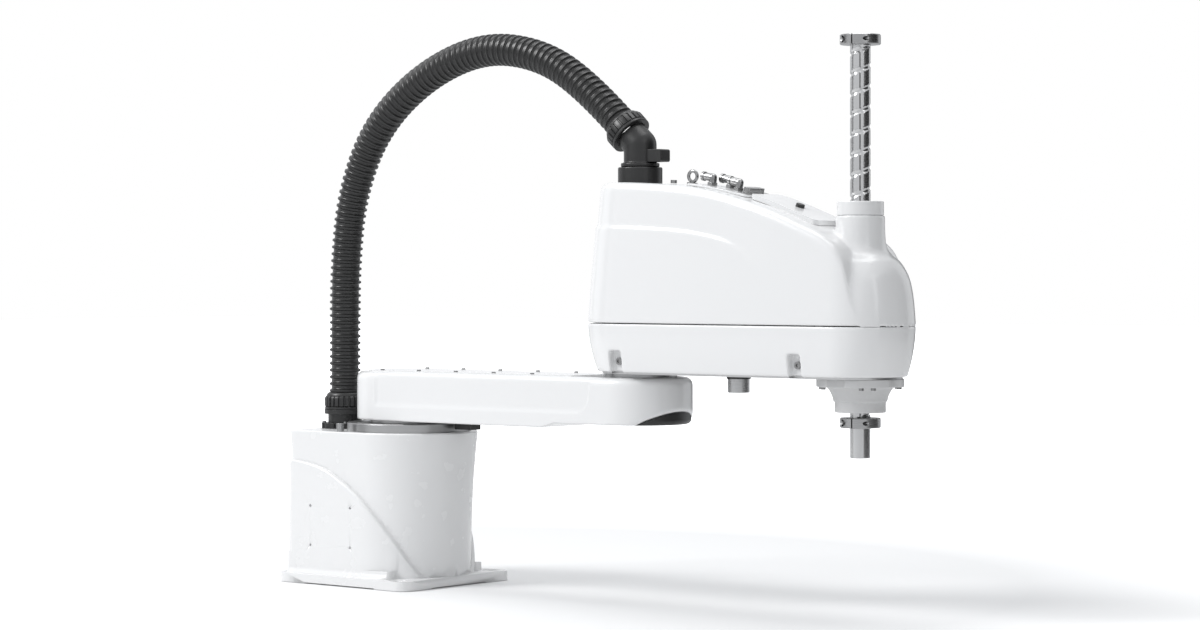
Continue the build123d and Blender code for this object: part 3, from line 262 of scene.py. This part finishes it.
def soften(piece, width, segments=2, angle=40.0):
    """Small round on every sharp edge."""
    edge = piece.modifiers.new("edge", "BEVEL")
    edge.width = width * MM
    edge.segments = segments
    edge.limit_method = "ANGLE"
    edge.angle_limit = radians(angle)
    settle(piece)
    level(piece, angle + 10)
    return piece


def skin(piece, voxel, passes, angle=60.0):
    """One even skin over a casting, with all its inner corners softened."""
    even = piece.modifiers.new("even", "REMESH")
    even.mode = "VOXEL"
    even.voxel_size = voxel * MM
    settle(piece)
    bm = bmesh.new()
    bm.from_mesh(piece.data)
    for _ in range(passes):
        bmesh.ops.smooth_vert(bm, verts=bm.verts, factor=0.5, **ALL_WAYS)
    bm.to_mesh(piece.data)
    bm.free()
    shade(piece, angle)
    return piece


def carve(piece, cutter):
    """Cuts a closed bmesh in millimetres out of a piece."""
    bmesh.ops.recalc_face_normals(cutter, faces=cutter.faces)
    tool = new_piece("tool", cutter, piece.data.materials[0], None)
    cut = piece.modifiers.new("cut", "BOOLEAN")
    cut.operation = "DIFFERENCE"
    cut.solver = "EXACT"
    cut.object = tool
    settle(piece)
    bpy.data.objects.remove(tool)
    return piece


def woven(columns, rows, place):
    """Grid of quads wrapped to a shape by place(u, v), then welded."""
    bm = bmesh.new()
    bmesh.ops.create_grid(bm, x_segments=columns, y_segments=rows, size=0.5)
    for vert in bm.verts:
        vert.co = place(vert.co.x + 0.5, vert.co.y + 0.5)
    bmesh.ops.remove_doubles(bm, verts=bm.verts, dist=0.002)
    bmesh.ops.recalc_face_normals(bm, faces=bm.faces)
    return bm


def turned(profile, steps=96, x=0.0, y=0.0):
    """Solid spun round an upright axis from (radius, height) points."""
    bm = bmesh.new()
    verts = [bm.verts.new((r, 0, z)) for r, z in profile]
    edges = [bm.edges.new(pair) for pair in zip(verts, verts[1:])]
    if profile[0][0] > 0:
        edges.append(bm.edges.new((verts[-1], verts[0])))
    bmesh.ops.spin(
        bm, geom=verts + edges, cent=(0, 0, 0), axis=(0, 0, 1), angle=2 * pi, steps=steps, use_merge=True
    )
    bmesh.ops.remove_doubles(bm, verts=bm.verts, dist=0.002)
    bmesh.ops.recalc_face_normals(bm, faces=bm.faces)
    bmesh.ops.translate(bm, vec=(x, y, 0), verts=bm.verts)
    return bm


def join(target, source, place=None):
    """Adds one bmesh to another."""
    if place is not None:
        bmesh.ops.transform(source, matrix=place, verts=source.verts)
    keep = bpy.data.meshes.new("part")
    source.to_mesh(keep)
    source.free()
    target.from_mesh(keep)
    bpy.data.meshes.remove(keep)
    return target


def copy_of(node):
    """Merged copy of a CAD node as a bmesh in millimetres."""
    bm = bmesh.new()
    bm.from_mesh(frame["nodes"][node].data)
    bmesh.ops.scale(bm, vec=(1 / MM,) * 3, verts=bm.verts)
    bmesh.ops.remove_doubles(bm, verts=bm.verts, dist=0.001)
    return bm


def body_of(node):
    return next(name for name, nodes in BODIES.items() if node in nodes)


def dressed(node, material, width=0.4, segments=2):
    """CAD node with rounded edges."""
    bm = copy_of(node)
    bmesh.ops.dissolve_limit(bm, angle_limit=radians(1.0), verts=bm.verts, edges=bm.edges)
    piece = new_piece(node + "_shaped", bm, material, None)
    if width:
        soften(piece, width, segments)
    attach(piece, body_of(node))
    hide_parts(node)
    return piece


def cast(node, material, voxel, passes):
    piece = skin(new_piece(node + "_shaped", copy_of(node), material, None), voxel, passes)
    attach(piece, body_of(node))
    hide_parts(node)
    return piece


BODIES = frame["record"]["behaviour"]["bodies"]


def smooth_run(points, x):
    """Height at x on a smooth line through points."""
    spans = list(zip(points, points[1:]))
    i = next((k for k, (a, b) in enumerate(spans) if x <= b[0]), len(spans) - 1)
    (x0, y0), (x1, y1) = spans[i]

    def slope(k):
        a, b = points[max(k - 1, 0)], points[min(k + 1, len(points) - 1)]
        return (b[1] - a[1]) / (b[0] - a[0])

    t = min(1.0, max(0.0, (x - x0) / (x1 - x0)))
    m0, m1 = slope(i) * (x1 - x0), slope(i + 1) * (x1 - x0)
    a, b = 2 * t**3 - 3 * t**2 + 1, t**3 - 2 * t**2 + t
    c, d = 3 * t**2 - 2 * t**3, t**3 - t**2
    return a * y0 + b * m0 + c * y1 + d * m1


def smooth_points(points, count):
    """Points along a smooth open line through the given ones."""
    ends = [points[0], *points, points[-1]]
    line = []
    for a, b, c, d in zip(ends, ends[1:], ends[2:], ends[3:]):
        for k in range(count):
            t = k / count
            line.append(
                tuple(
                    0.5 * (2 * q + (r - p) * t + (2 * p - 5 * q + 4 * r - s) * t**2 + (3 * q - p - 3 * r + s) * t**3)
                    for p, q, r, s in zip(a, b, c, d)
                )
            )
    return line + [points[-1]]


# Camera and light
lens = bpy.data.cameras.new("camera")
lens.lens = 93.0
lens.sensor_width = 36.0
lens.shift_y = -0.0375
camera = bpy.data.objects.new("camera", lens)
camera.location = (2.346, -2.499, 0.342)
camera.rotation_euler = (radians(90), 0, radians(39.4))
bpy.context.scene.collection.objects.link(camera)
bpy.context.scene.camera = camera
bpy.context.scene.view_settings.view_transform = "Standard"


def lamp(name, place, target, size, power, spread=None):
    light = bpy.data.lights.new(name, "AREA")
    light.shape = "RECTANGLE"
    light.size, light.size_y = size
    light.energy = power
    item = bpy.data.objects.new(name, light)
    item.location = place
    way = Vector(target) - Vector(place)
    item.rotation_euler = way.to_track_quat("-Z", "Y").to_euler()
    bpy.context.scene.collection.objects.link(item)
    return item


lamp("key", (-1.5, -2.0, 2.6), (0.3, 0, 0.3), (1.3, 1.3), 78.0)
lamp("side", (3.2, -0.6, 1.6), (0.4, 0, 0.3), (1.2, 2.0), 12.0)
lamp("top", (0.2, 0.4, 3.2), (0.3, 0, 0.2), (2.4, 1.6), 34.0)


def card(name, turn, reach, wide, low, high, shade=False):
    """Dark upright card out of the camera's sight, mirrored by polished surfaces."""
    bm = bmesh.new()
    bmesh.ops.create_grid(bm, x_segments=1, y_segments=1, size=0.5)
    bmesh.ops.scale(bm, vec=(wide, high - low, 1), verts=bm.verts)
    stand = Matrix.Rotation(radians(turn), 4, "Z") @ Matrix.Translation((0, reach, (low + high) / 2))
    bmesh.ops.transform(bm, matrix=stand @ Matrix.Rotation(pi / 2, 4, "X"), verts=bm.verts)
    felt = Finish(name, Roughness=0.9)
    felt.feed("Base Color", felt.tint(felt.noise(3.0), grey(0.02), grey(0.03)))
    panel = new_piece(name, bm, felt.material, None)
    panel.visible_camera = panel.visible_shadow = panel.visible_transmission = False
    panel.visible_diffuse = shade


card("card_right", -72.0, 1900.0, 2200.0, 0.0, 1500.0, True)
card("card_left", 128.0, 2300.0, 700.0, 0.0, 2200.0)
card("card_behind", 5.0, 2600.0, 900.0, 0.0, 1800.0)

world = bpy.data.worlds.new("room")
bpy.context.scene.world = world
world.use_nodes = True
room = world.node_tree
room.nodes.clear()
ray = room.nodes.new("ShaderNodeLightPath")
seen = room.nodes.new("ShaderNodeMath")
seen.operation = "MAXIMUM"
room.links.new(ray.outputs["Is Camera Ray"], seen.inputs[0])
room.links.new(ray.outputs["Is Transmission Ray"], seen.inputs[1])
dim = room.nodes.new("ShaderNodeBackground")
dim.inputs["Color"].default_value = (0.93, 0.96, 1.0, 1)
dim.inputs["Strength"].default_value = 0.58
bright = room.nodes.new("ShaderNodeBackground")
bright.inputs["Color"].default_value = (1, 1, 1, 1)
shiny = room.nodes.new("ShaderNodeBackground")
shiny.inputs["Color"].default_value = (0.86, 0.87, 0.89, 1)
first = room.nodes.new("ShaderNodeMixShader")
second = room.nodes.new("ShaderNodeMixShader")
room.links.new(ray.outputs["Is Glossy Ray"], first.inputs[0])
room.links.new(dim.outputs[0], first.inputs[1])
room.links.new(shiny.outputs[0], first.inputs[2])
room.links.new(seen.outputs[0], second.inputs[0])
room.links.new(first.outputs[0], second.inputs[1])
room.links.new(bright.outputs[0], second.inputs[2])
out = room.nodes.new("ShaderNodeOutputWorld")
room.links.new(second.outputs[0], out.inputs["Surface"])


def floor():
    """Pale floor that keeps the shadow and runs into the white behind it."""
    bm = bmesh.new()
    bmesh.ops.create_grid(bm, x_segments=2, y_segments=2, size=14000.0)
    sheet = Finish("floor")
    sheet.feed("Base Color", sheet.tint(sheet.noise(2.0), grey(0.8), grey(0.82)))
    sheet.feed("Roughness", 0.9)
    sheet.feed("Specular IOR Level", 0.1)
    x, y = sheet.axis("X"), sheet.axis("Y")
    clamped = {"operation": "SUBTRACT", "use_clamp": True}
    away = sheet.node("ShaderNodeMath", clamped, {0: (x * x + y * y) ** 0.5, 1: 0.7})
    glow = sheet.node("ShaderNodeEmission", values={"Color": (1, 1, 1, 1), "Strength": away * 1.2 + 0.05})
    both = sheet.node("ShaderNodeAddShader", values={1: glow})
    sheet.tree.links.new(sheet.shader.outputs[0], both.socket.node.inputs[0])
    path = sheet.node("ShaderNodeLightPath", out="Is Camera Ray")
    pick = sheet.node("ShaderNodeMixShader", values={0: path, 2: both})
    sheet.tree.links.new(sheet.shader.outputs[0], pick.socket.node.inputs[1])
    end = sheet.tree.nodes["Material Output"]
    sheet.tree.links.new(pick.socket, end.inputs["Surface"])
    ground = new_piece("floor", bm, sheet.material, None)
    ground.location.z = -0.0005


floor()


# Conduit: a corrugated tube along listed points
ROUTE = [
    (-68.0, -8.0, 206.1),
    (-68.0, -8.0, 272.1),
    (-67.0, -7.98, 350.0),
    (-57.0, -7.75, 427.0),
    (-21.0, -6.92, 500.0),
    (49.0, -5.3, 554.0),
    (135.0, -3.31, 582.0),
    (216.0, -1.44, 570.0),
    (278.56, 0.0, 532.63),
    (321.66, 0.0, 493.82),
]


def centreline():
    data = bpy.data.curves.new("route", "CURVE")
    data.dimensions = "3D"
    line = data.splines.new("NURBS")
    line.points.add(len(ROUTE) - 1)
    for point, place in zip(line.points, ROUTE):
        point.co = (*place, 1.0)
    line.order_u = 3
    line.use_endpoint_u = True
    data.resolution_u = 24
    item = bpy.data.objects.new("route", data)
    bpy.context.scene.collection.objects.link(item)
    mesh = item.evaluated_get(bpy.context.evaluated_depsgraph_get()).to_mesh()
    points = [v.co.copy() for v in mesh.vertices]
    bpy.data.objects.remove(item)
    return points


def stations(points, count):
    """Evenly spaced places along a line, each with its direction."""
    marks = [0.0]
    for a, b in zip(points, points[1:]):
        marks.append(marks[-1] + (b - a).length)
    total, found, k = marks[-1], [], 0
    for i in range(count + 1):
        want = total * i / count
        while k < len(points) - 2 and marks[k + 1] < want:
            k += 1
        share = (want - marks[k]) / (marks[k + 1] - marks[k])
        found.append(points[k].lerp(points[k + 1], min(1.0, max(0.0, share))))
    ways = []
    for i in range(count + 1):
        a, b = found[max(i - 1, 0)], found[min(i + 1, count)]
        ways.append((b - a).normalized())
    return found, ways, total


def conduit():
    points = centreline()
    pitch = 7.5
    shares = (0.0, 0.1, 0.36, 0.46, 0.58, 0.88)
    radii = (15.6, 17.2, 17.2, 15.6, 14.9, 14.9)
    found, ways, total = stations(points, 1200)
    ribs = int(total / pitch)
    rings = [(0.0, 0.0)]
    for i in range(ribs):
        rings += [((i + share) / ribs, radius) for share, radius in zip(shares, radii)]
    rings += [(1.0, 15.0), (1.0, 0.0)]
    count = len(rings) - 1

    def place(u, v):
        at, radius = rings[round(v * count)]
        i = min(1200, round(at * 1200))
        way = ways[i]
        side = Vector((0, 1, 0)) - way * way.y
        side.normalize()
        up = way.cross(side)
        spot = at * 1200
        low = min(1199, int(spot))
        centre = found[low].lerp(found[low + 1], spot - low)
        turn = 2 * pi * u
        return centre + side * (radius * cos(turn)) + up * (radius * sin(turn))

    tube = new_piece("conduit_ribbed", woven(40, count, place), HOSE, None, angle=50.0)
    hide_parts("conduit")
    path = [[c * MM for c in p] for p in found[::10]]
    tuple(path[0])
    total * MM
    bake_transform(tube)


conduit()


# Upper cover of arm 2
CREST = [
    (J2 - 60, TOP),
    (J2 + 25, TOP),
    (J2 + 113, TOP - 8.0),
    (J2 + 187, TOP - 26.0),
    (J2 + 235, TOP - 43.5),
    (J3 - 4, TOP - 60.0),
    (J3 + 15, TOP - 82.0),
    (J3 + 24, TOP - 118.0),
    (J3 + 40, TOP - 134.0),
    (J3 + 60, TOP - 138.0),
]
CREASE = [
    (J2 - 70, SEAM + 98.0),
    (J2 + 43, SEAM + 94.5),
    (J2 + 107, SEAM + 89.0),
    (J2 + 157, SEAM + 77.0),
    (J2 + 187, SEAM + 56.0),
    (J2 + 215, SEAM + 30.0),
    (J3 + 60, SEAM + 4.0),
]
EDGE_ROUND = 9.0


def slot_point(u, rear, front, half):
    """Place on a long plan with round ends, u from 0 to 1 round it."""
    back, head = rear + half, front - half
    side = 0.28
    arc = 0.5 - side
    if u < side:
        return back + (head - back) * u / side, -half
    if u < 0.5:
        turn = pi * ((u - side) / arc - 0.5)
        return head + half * cos(turn), half * sin(turn)
    if u < 0.5 + side:
        return head - (head - back) * (u - 0.5) / side, half
    turn = pi * ((u - 0.5 - side) / arc + 0.5)
    return back + half * cos(turn), half * sin(turn)


def upper_plan(u, z, inset):
    t = max(0.0, (z - SEAM) / (TOP - SEAM))
    rear = HALF - 15.0 * t**1.1
    half = HALF - 2.5 * t
    return slot_point(u, J2 - rear + inset, J3 + half - inset, half - inset)


def upper_body(wall=0.0, columns=300, rows=(30, 4, 16, 12, 22)):
    """Closed form of the cover, drawn in by wall for its inside."""
    marks = [sum(rows[:i]) for i in range(len(rows) + 1)]
    count = marks[-1] + 1
    low = SEAM + 0.3 if not wall else SEAM - 6.0

    def place(u, v):
        row = round(v * count) - 1
        x0 = upper_plan(u, SEAM, wall)[0]
        top = smooth_run(CREST, x0) - wall
        crease = min(smooth_run(CREASE, x0) - wall, top - EDGE_ROUND - 8.0)
        fade = min(1.0, max(0.0, (J2 + 200 - x0) / 60.0))
        step = 0.0 if wall else 1.7 * fade
        if row < 0:
            x, y = slot_point(u, J2 - 1, J3 + 1, 0.0)
            return Vector((x, y, low))
        if row <= marks[1]:
            z = low + (crease - low) * row / rows[0]
            x, y = upper_plan(u, z, wall)
            return Vector((x, y, z))
        if row <= marks[2]:
            t = (row - marks[1]) / rows[1]
            z = crease + 4.0 * t
            x, y = upper_plan(u, z, wall + step * t * t * (3 - 2 * t))
            return Vector((x, y, z))
        shoulder = max(top - EDGE_ROUND, crease + 4.2)
        if row <= marks[3]:
            t = (row - marks[2]) / rows[2]
            z = crease + 4.0 + (shoulder - crease - 4.0) * t
            x, y = upper_plan(u, z, wall + step)
            return Vector((x, y, z))
        if row <= marks[4]:
            turn = pi / 2 * (row - marks[3]) / rows[3]
            inset = EDGE_ROUND * (1 - cos(turn))
            x, y = upper_plan(u, shoulder, wall + step + inset)
            z = smooth_run(CREST, x) - wall - EDGE_ROUND + EDGE_ROUND * sin(turn)
            return Vector((x, y, z))
        t = (row - marks[4]) / rows[4]
        half = HALF - 2.5 * max(0.0, (shoulder - SEAM) / (TOP - SEAM))
        inset = EDGE_ROUND + (half - wall - step - EDGE_ROUND) * t
        x, y = upper_plan(u, shoulder, wall + step + inset)
        return Vector((x, y, smooth_run(CREST, x) - wall))

    return woven(columns, count, place)


def nose(wall=0.0, steps=160):
    """Round nose that runs up into the neck."""
    r, z, neck = HALF - wall, SEAM, 24.0 - wall
    flank = smooth_points(
        [
            (r, z + 0.3),
            (r - 1.2, z + 18.0),
            (r - 3.3, z + 34.7),
            (r - 7.2, z + 49.2),
            (r - 15.0, z + 62.2),
            (neck + 6.0, z + 69.8),
            (neck + 1.6, z + 78.0),
            (neck + 0.3, z + 90.0),
            (neck, NECK_TOP - 0.4),
        ],
        8,
    )
    flank = [(a, b - wall * 0.6) for a, b in flank]
    low = z + 0.3 if not wall else z - 6.0
    return turned([(0, low), (r, low)] + flank[1:] + [(neck - 0.4, NECK_TOP), (0, NECK_TOP)], steps, J3)


def upper_cover():
    form = upper_body()
    join(form, nose())
    cover = skin(new_piece("upper_cover", form, WHITE, None), 1.45, 3)
    bm = bmesh.new()
    bm.from_mesh(cover.data)
    soft = []
    for vert in bm.verts:
        x, y, z = vert.co / MM
        reach = ((x - J3) ** 2 + y * y) ** 0.5
        if J3 - 46 < x < J3 + 30 and 29.5 < reach and SEAM + 22 < z < SEAM + 92:
            soft.append(vert)
    for _ in range(8):
        bmesh.ops.smooth_vert(bm, verts=soft, factor=0.5, **ALL_WAYS)
    bm.to_mesh(cover.data)
    bm.free()
    shade(cover, 60.0)
    inside = upper_body(3.0, 120, (12, 2, 6, 6, 10))
    join(inside, nose(3.0, 96))
    hollow = skin(new_piece("inside", inside, WHITE, None), 3.0, 1)
    core = bmesh.new()
    core.from_mesh(hollow.data)
    bmesh.ops.scale(core, vec=(1 / MM,) * 3, verts=core.verts)
    bpy.data.objects.remove(hollow)
    carve(cover, core)
    carve(cover, turned([(0, NECK_TOP - 60), (21, NECK_TOP - 60), (21, NECK_TOP + 5), (0, NECK_TOP + 5)], 64, J3))
    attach(cover, "arm_2")
    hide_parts("arm_2_upper_cover")


upper_cover()


# Shaft with its ball track and spline grooves
def shaft():
    low, high = 158.3, 571.8
    lead, radius = 20.0, 10.0
    ends = [(low, 5.5, 0), (low, 9.2, 0), (low + 0.8, 10.0, 0)]
    relief = [(187.5, 10.0), (187.5, 9.7), (188.5, 9.7), (188.5, 10.0)]
    walls = [(170.0, 10.0, 0)] + [(z, r, 0) for z, r in relief] + [(197.0, 10.0, 0)]
    count = 340
    walls += [(198.0 + (560.0 - 198.0) * i / count, 10.0, 1) for i in range(count + 1)]
    tail = [(561.0, 10.0, 0), (high - 0.8, 10.0, 0), (high, 9.2, 0)]
    tail += [(high, 5.5, 0), (low, 5.5, 0)]
    rings = ends + walls + tail

    def place(u, v):
        z, r, cut = rings[round(v * (len(rings) - 1))]
        turn = 2 * pi * u
        if cut:
            along = (z - lead * u + lead / 2) % lead - lead / 2
            ball = max(0.0, 1 - (along / 2.3) ** 2)
            aside = [abs((turn - pi * (0.39 + k * 2 / 3) + pi) % (2 * pi) - pi) * radius for k in range(3)]
            spline = max(0.0, 1 - (min(aside) / 1.5) ** 2)
            r -= max(1.15 * ball**0.5, 1.0 * spline**0.5)
        return Vector((J3 + r * cos(turn), r * sin(turn), z))

    return new_piece("splined_shaft", woven(84, len(rings) - 1, place), SHAFT, "shaft", ["shaft"], 28.0)


shaft()


# Union nuts of the conduit
def union_nut():
    """Ribbed nut with a plain foot ring and a rounded mouth."""
    rings = [
        (0.0, 17.4, 0),
        (0.0, 21.8, 0),
        (0.5, 22.4, 0),
        (2.6, 22.4, 0),
        (3.1, 21.9, 0),
        (3.2, 21.6, 1),
        (3.9, 22.6, 1),
        (12.6, 22.6, 1),
        (14.6, 21.4, 1),
        (15.0, 20.6, 0),
        (16.6, 20.2, 0),
        (18.0, 19.2, 0),
        (18.8, 18.0, 0),
        (19.0, 17.4, 0),
        (0.0, 17.4, 0),
    ]

    def place(u, v):
        z, r, ribbed = rings[round(v * (len(rings) - 1))]
        turn = 2 * pi * u
        if ribbed and (u * 24) % 1.0 > 0.62:
            r -= 1.3
        return Vector((r * cos(turn), r * sin(turn), z))

    return woven(240, len(rings) - 1, place)


lower = union_nut()
bmesh.ops.translate(lower, vec=(-68.0, -8.0, 187.0), verts=lower.verts)
new_piece("lower_union_nut", lower, PLASTIC, "base", ["conduit_lower_nut"])
upper = union_nut()
tilt = Matrix.Translation((J2, 0, TOP + 40)) @ Matrix.Rotation(radians(-48), 4, "Y") @ Matrix.Translation((0, 0, 15))
bmesh.ops.transform(upper, matrix=tilt, verts=upper.verts)
new_piece("upper_union_nut", upper, PLASTIC, "conduit_swivel", ["conduit_upper_nut"])

# Base casting: the rear bolt seats are closed where the flare runs over them
def prism(outline, y0, y1):
    """Side outline of (x, z) points drawn out from y0 to y1."""
    bm = bmesh.new()
    face = bm.faces.new([bm.verts.new((x, y0, z)) for x, z in outline])
    made = bmesh.ops.extrude_face_region(bm, geom=[face])["geom"]
    bmesh.ops.translate(bm, vec=(0, y1 - y0, 0), verts=[v for v in made if isinstance(v, bmesh.types.BMVert)])
    bmesh.ops.recalc_face_normals(bm, faces=bm.faces)
    return bm


def fuse(piece, shapes):
    """Adds closed bmeshes in millimetres to a piece, one by one."""
    for shape in shapes:
        tool = new_piece("tool", shape, piece.data.materials[0], None)
        both = piece.modifiers.new("both", "BOOLEAN")
        both.operation = "UNION"
        both.solver = "EXACT"
        both.object = tool
        settle(piece)
        bpy.data.objects.remove(tool)


def base_casting():
    wall, foot, plate = 76.5, 8.0, 9.5
    piece = new_piece("base_casting_shaped", copy_of("base_casting"), WHITE_BASE, None)
    fills = []
    for side in (-1, 1):
        fills.append(prism([(-88, plate - 3), (-64, plate - 3), (-64, 32), (-88, 32)], side * 60, side * wall))
        cove = [(wall - 8, plate - 3)]
        for step in range(17):
            turn = pi / 2 * step / 16
            cove.append((wall + foot * (1 - cos(turn)), plate + 0.5 + foot * (1 - sin(turn))))
        cove.append((wall + foot, plate - 3))
        spin = Matrix(((0, 1, 0, -86), (side, 0, 0, 0), (0, 0, 1, 0), (0, 0, 0, 1)))
        fill = prism(cove, 0, 24)
        bmesh.ops.transform(fill, matrix=spin, verts=fill.verts)
        bmesh.ops.recalc_face_normals(fill, faces=fill.faces)
        fills.append(fill)
    fuse(piece, fills)
    level(piece, 30.0)
    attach(piece, "base")
    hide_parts("base_casting")


# Castings and covers
base_casting()
cast("arm_1_casting", WHITE, 1.6, 3)
cast("arm_2_lower_cover", WHITE, 1.2, 3)
cast("nut_housing", GREY_CAST, 0.7, 3)
cast("conduit_elbow", PLASTIC, 0.7, 4)

ROUNDED = {
    "arm_1_top_cover": (WHITE, 0.5),
    "neck_cap": (WHITE, 0.5),
    "button_cover": (WHITE, 0.8),
    "service_panel": (WHITE, 0.4),
    "base_rear_panel": (WHITE_BASE, 0.5),
    "arm_1_bottom_cover": (PLASTIC, 0.5),
    "j1_stop_block": (DARK, 0.6),
    "j1_stop_pins": (COLLAR, 0.4),
    "j1_reducer": (DISC, 0.3),
    "j2_stop_stud": (STUD, 0.6),
    "upper_collar": (COLLAR, 0.3),
    "lower_collar": (COLLAR, 0.3),
    "conduit_socket": (PLASTIC, 0.5),
    "conduit_latch": (PLASTIC, 0.6),
    "conduit_lower_gland": (PLASTIC, 0.4),
    "air_fittings": (CHROME, 0.25),
    "user_connector": (CHROME, 0.2),
    "lifting_eye": (CHROME, 0.2),
    "earth_screw": (SCREW, 0.25),
    "brake_release_button": (PLASTIC, 0.3),
    "power_socket": (DARK, 0.3),
    "signal_socket": (CHROME, 0.3),
    "base_air_ports": (PLASTIC, 0.3),
    "base_air_plugs": (PLASTIC, 0.3),
}
for node, (finish, width) in ROUNDED.items():
    dressed(node, finish, width)

# Black band at the top of the stop stud: painted shade, a dark ring standing for the shadow under the cover of arm 2
shade_band = [(11.05, 232.6), (12.3, 232.6), (12.3, 237.4), (11.05, 237.4)]
new_piece("stud_painted_shade_band", turned(shade_band, 64, STUD_X), PLASTIC, "arm_2")

KEPT = {
    "rear_panel_screws": SCREW,
    "arm_1_cover_screws": SCREW,
    "arm_2_cover_screws": SCREW,
    "nut_housing_screws": SCREW,
    "conduit_gland_screws": SCREW,
    "collar_screws": DARK,
    "j1_motor": MOTOR,
    "j2_motor": MOTOR,
    "u_motor": MOTOR,
    "z_motor": MOTOR,
    "j1_output_flange": RAW,
    "j2_output_flange": RAW,
    "arm_2_frame": RAW,
    "motor_shelf": RAW,
    "u_belt": RUBBER,
    "z_belt": RUBBER,
}
for node, item in frame["nodes"].items():
    if node not in ROUNDED:
        item.data.materials.clear()
        item.data.materials.append(KEPT.get(node, COLLAR))
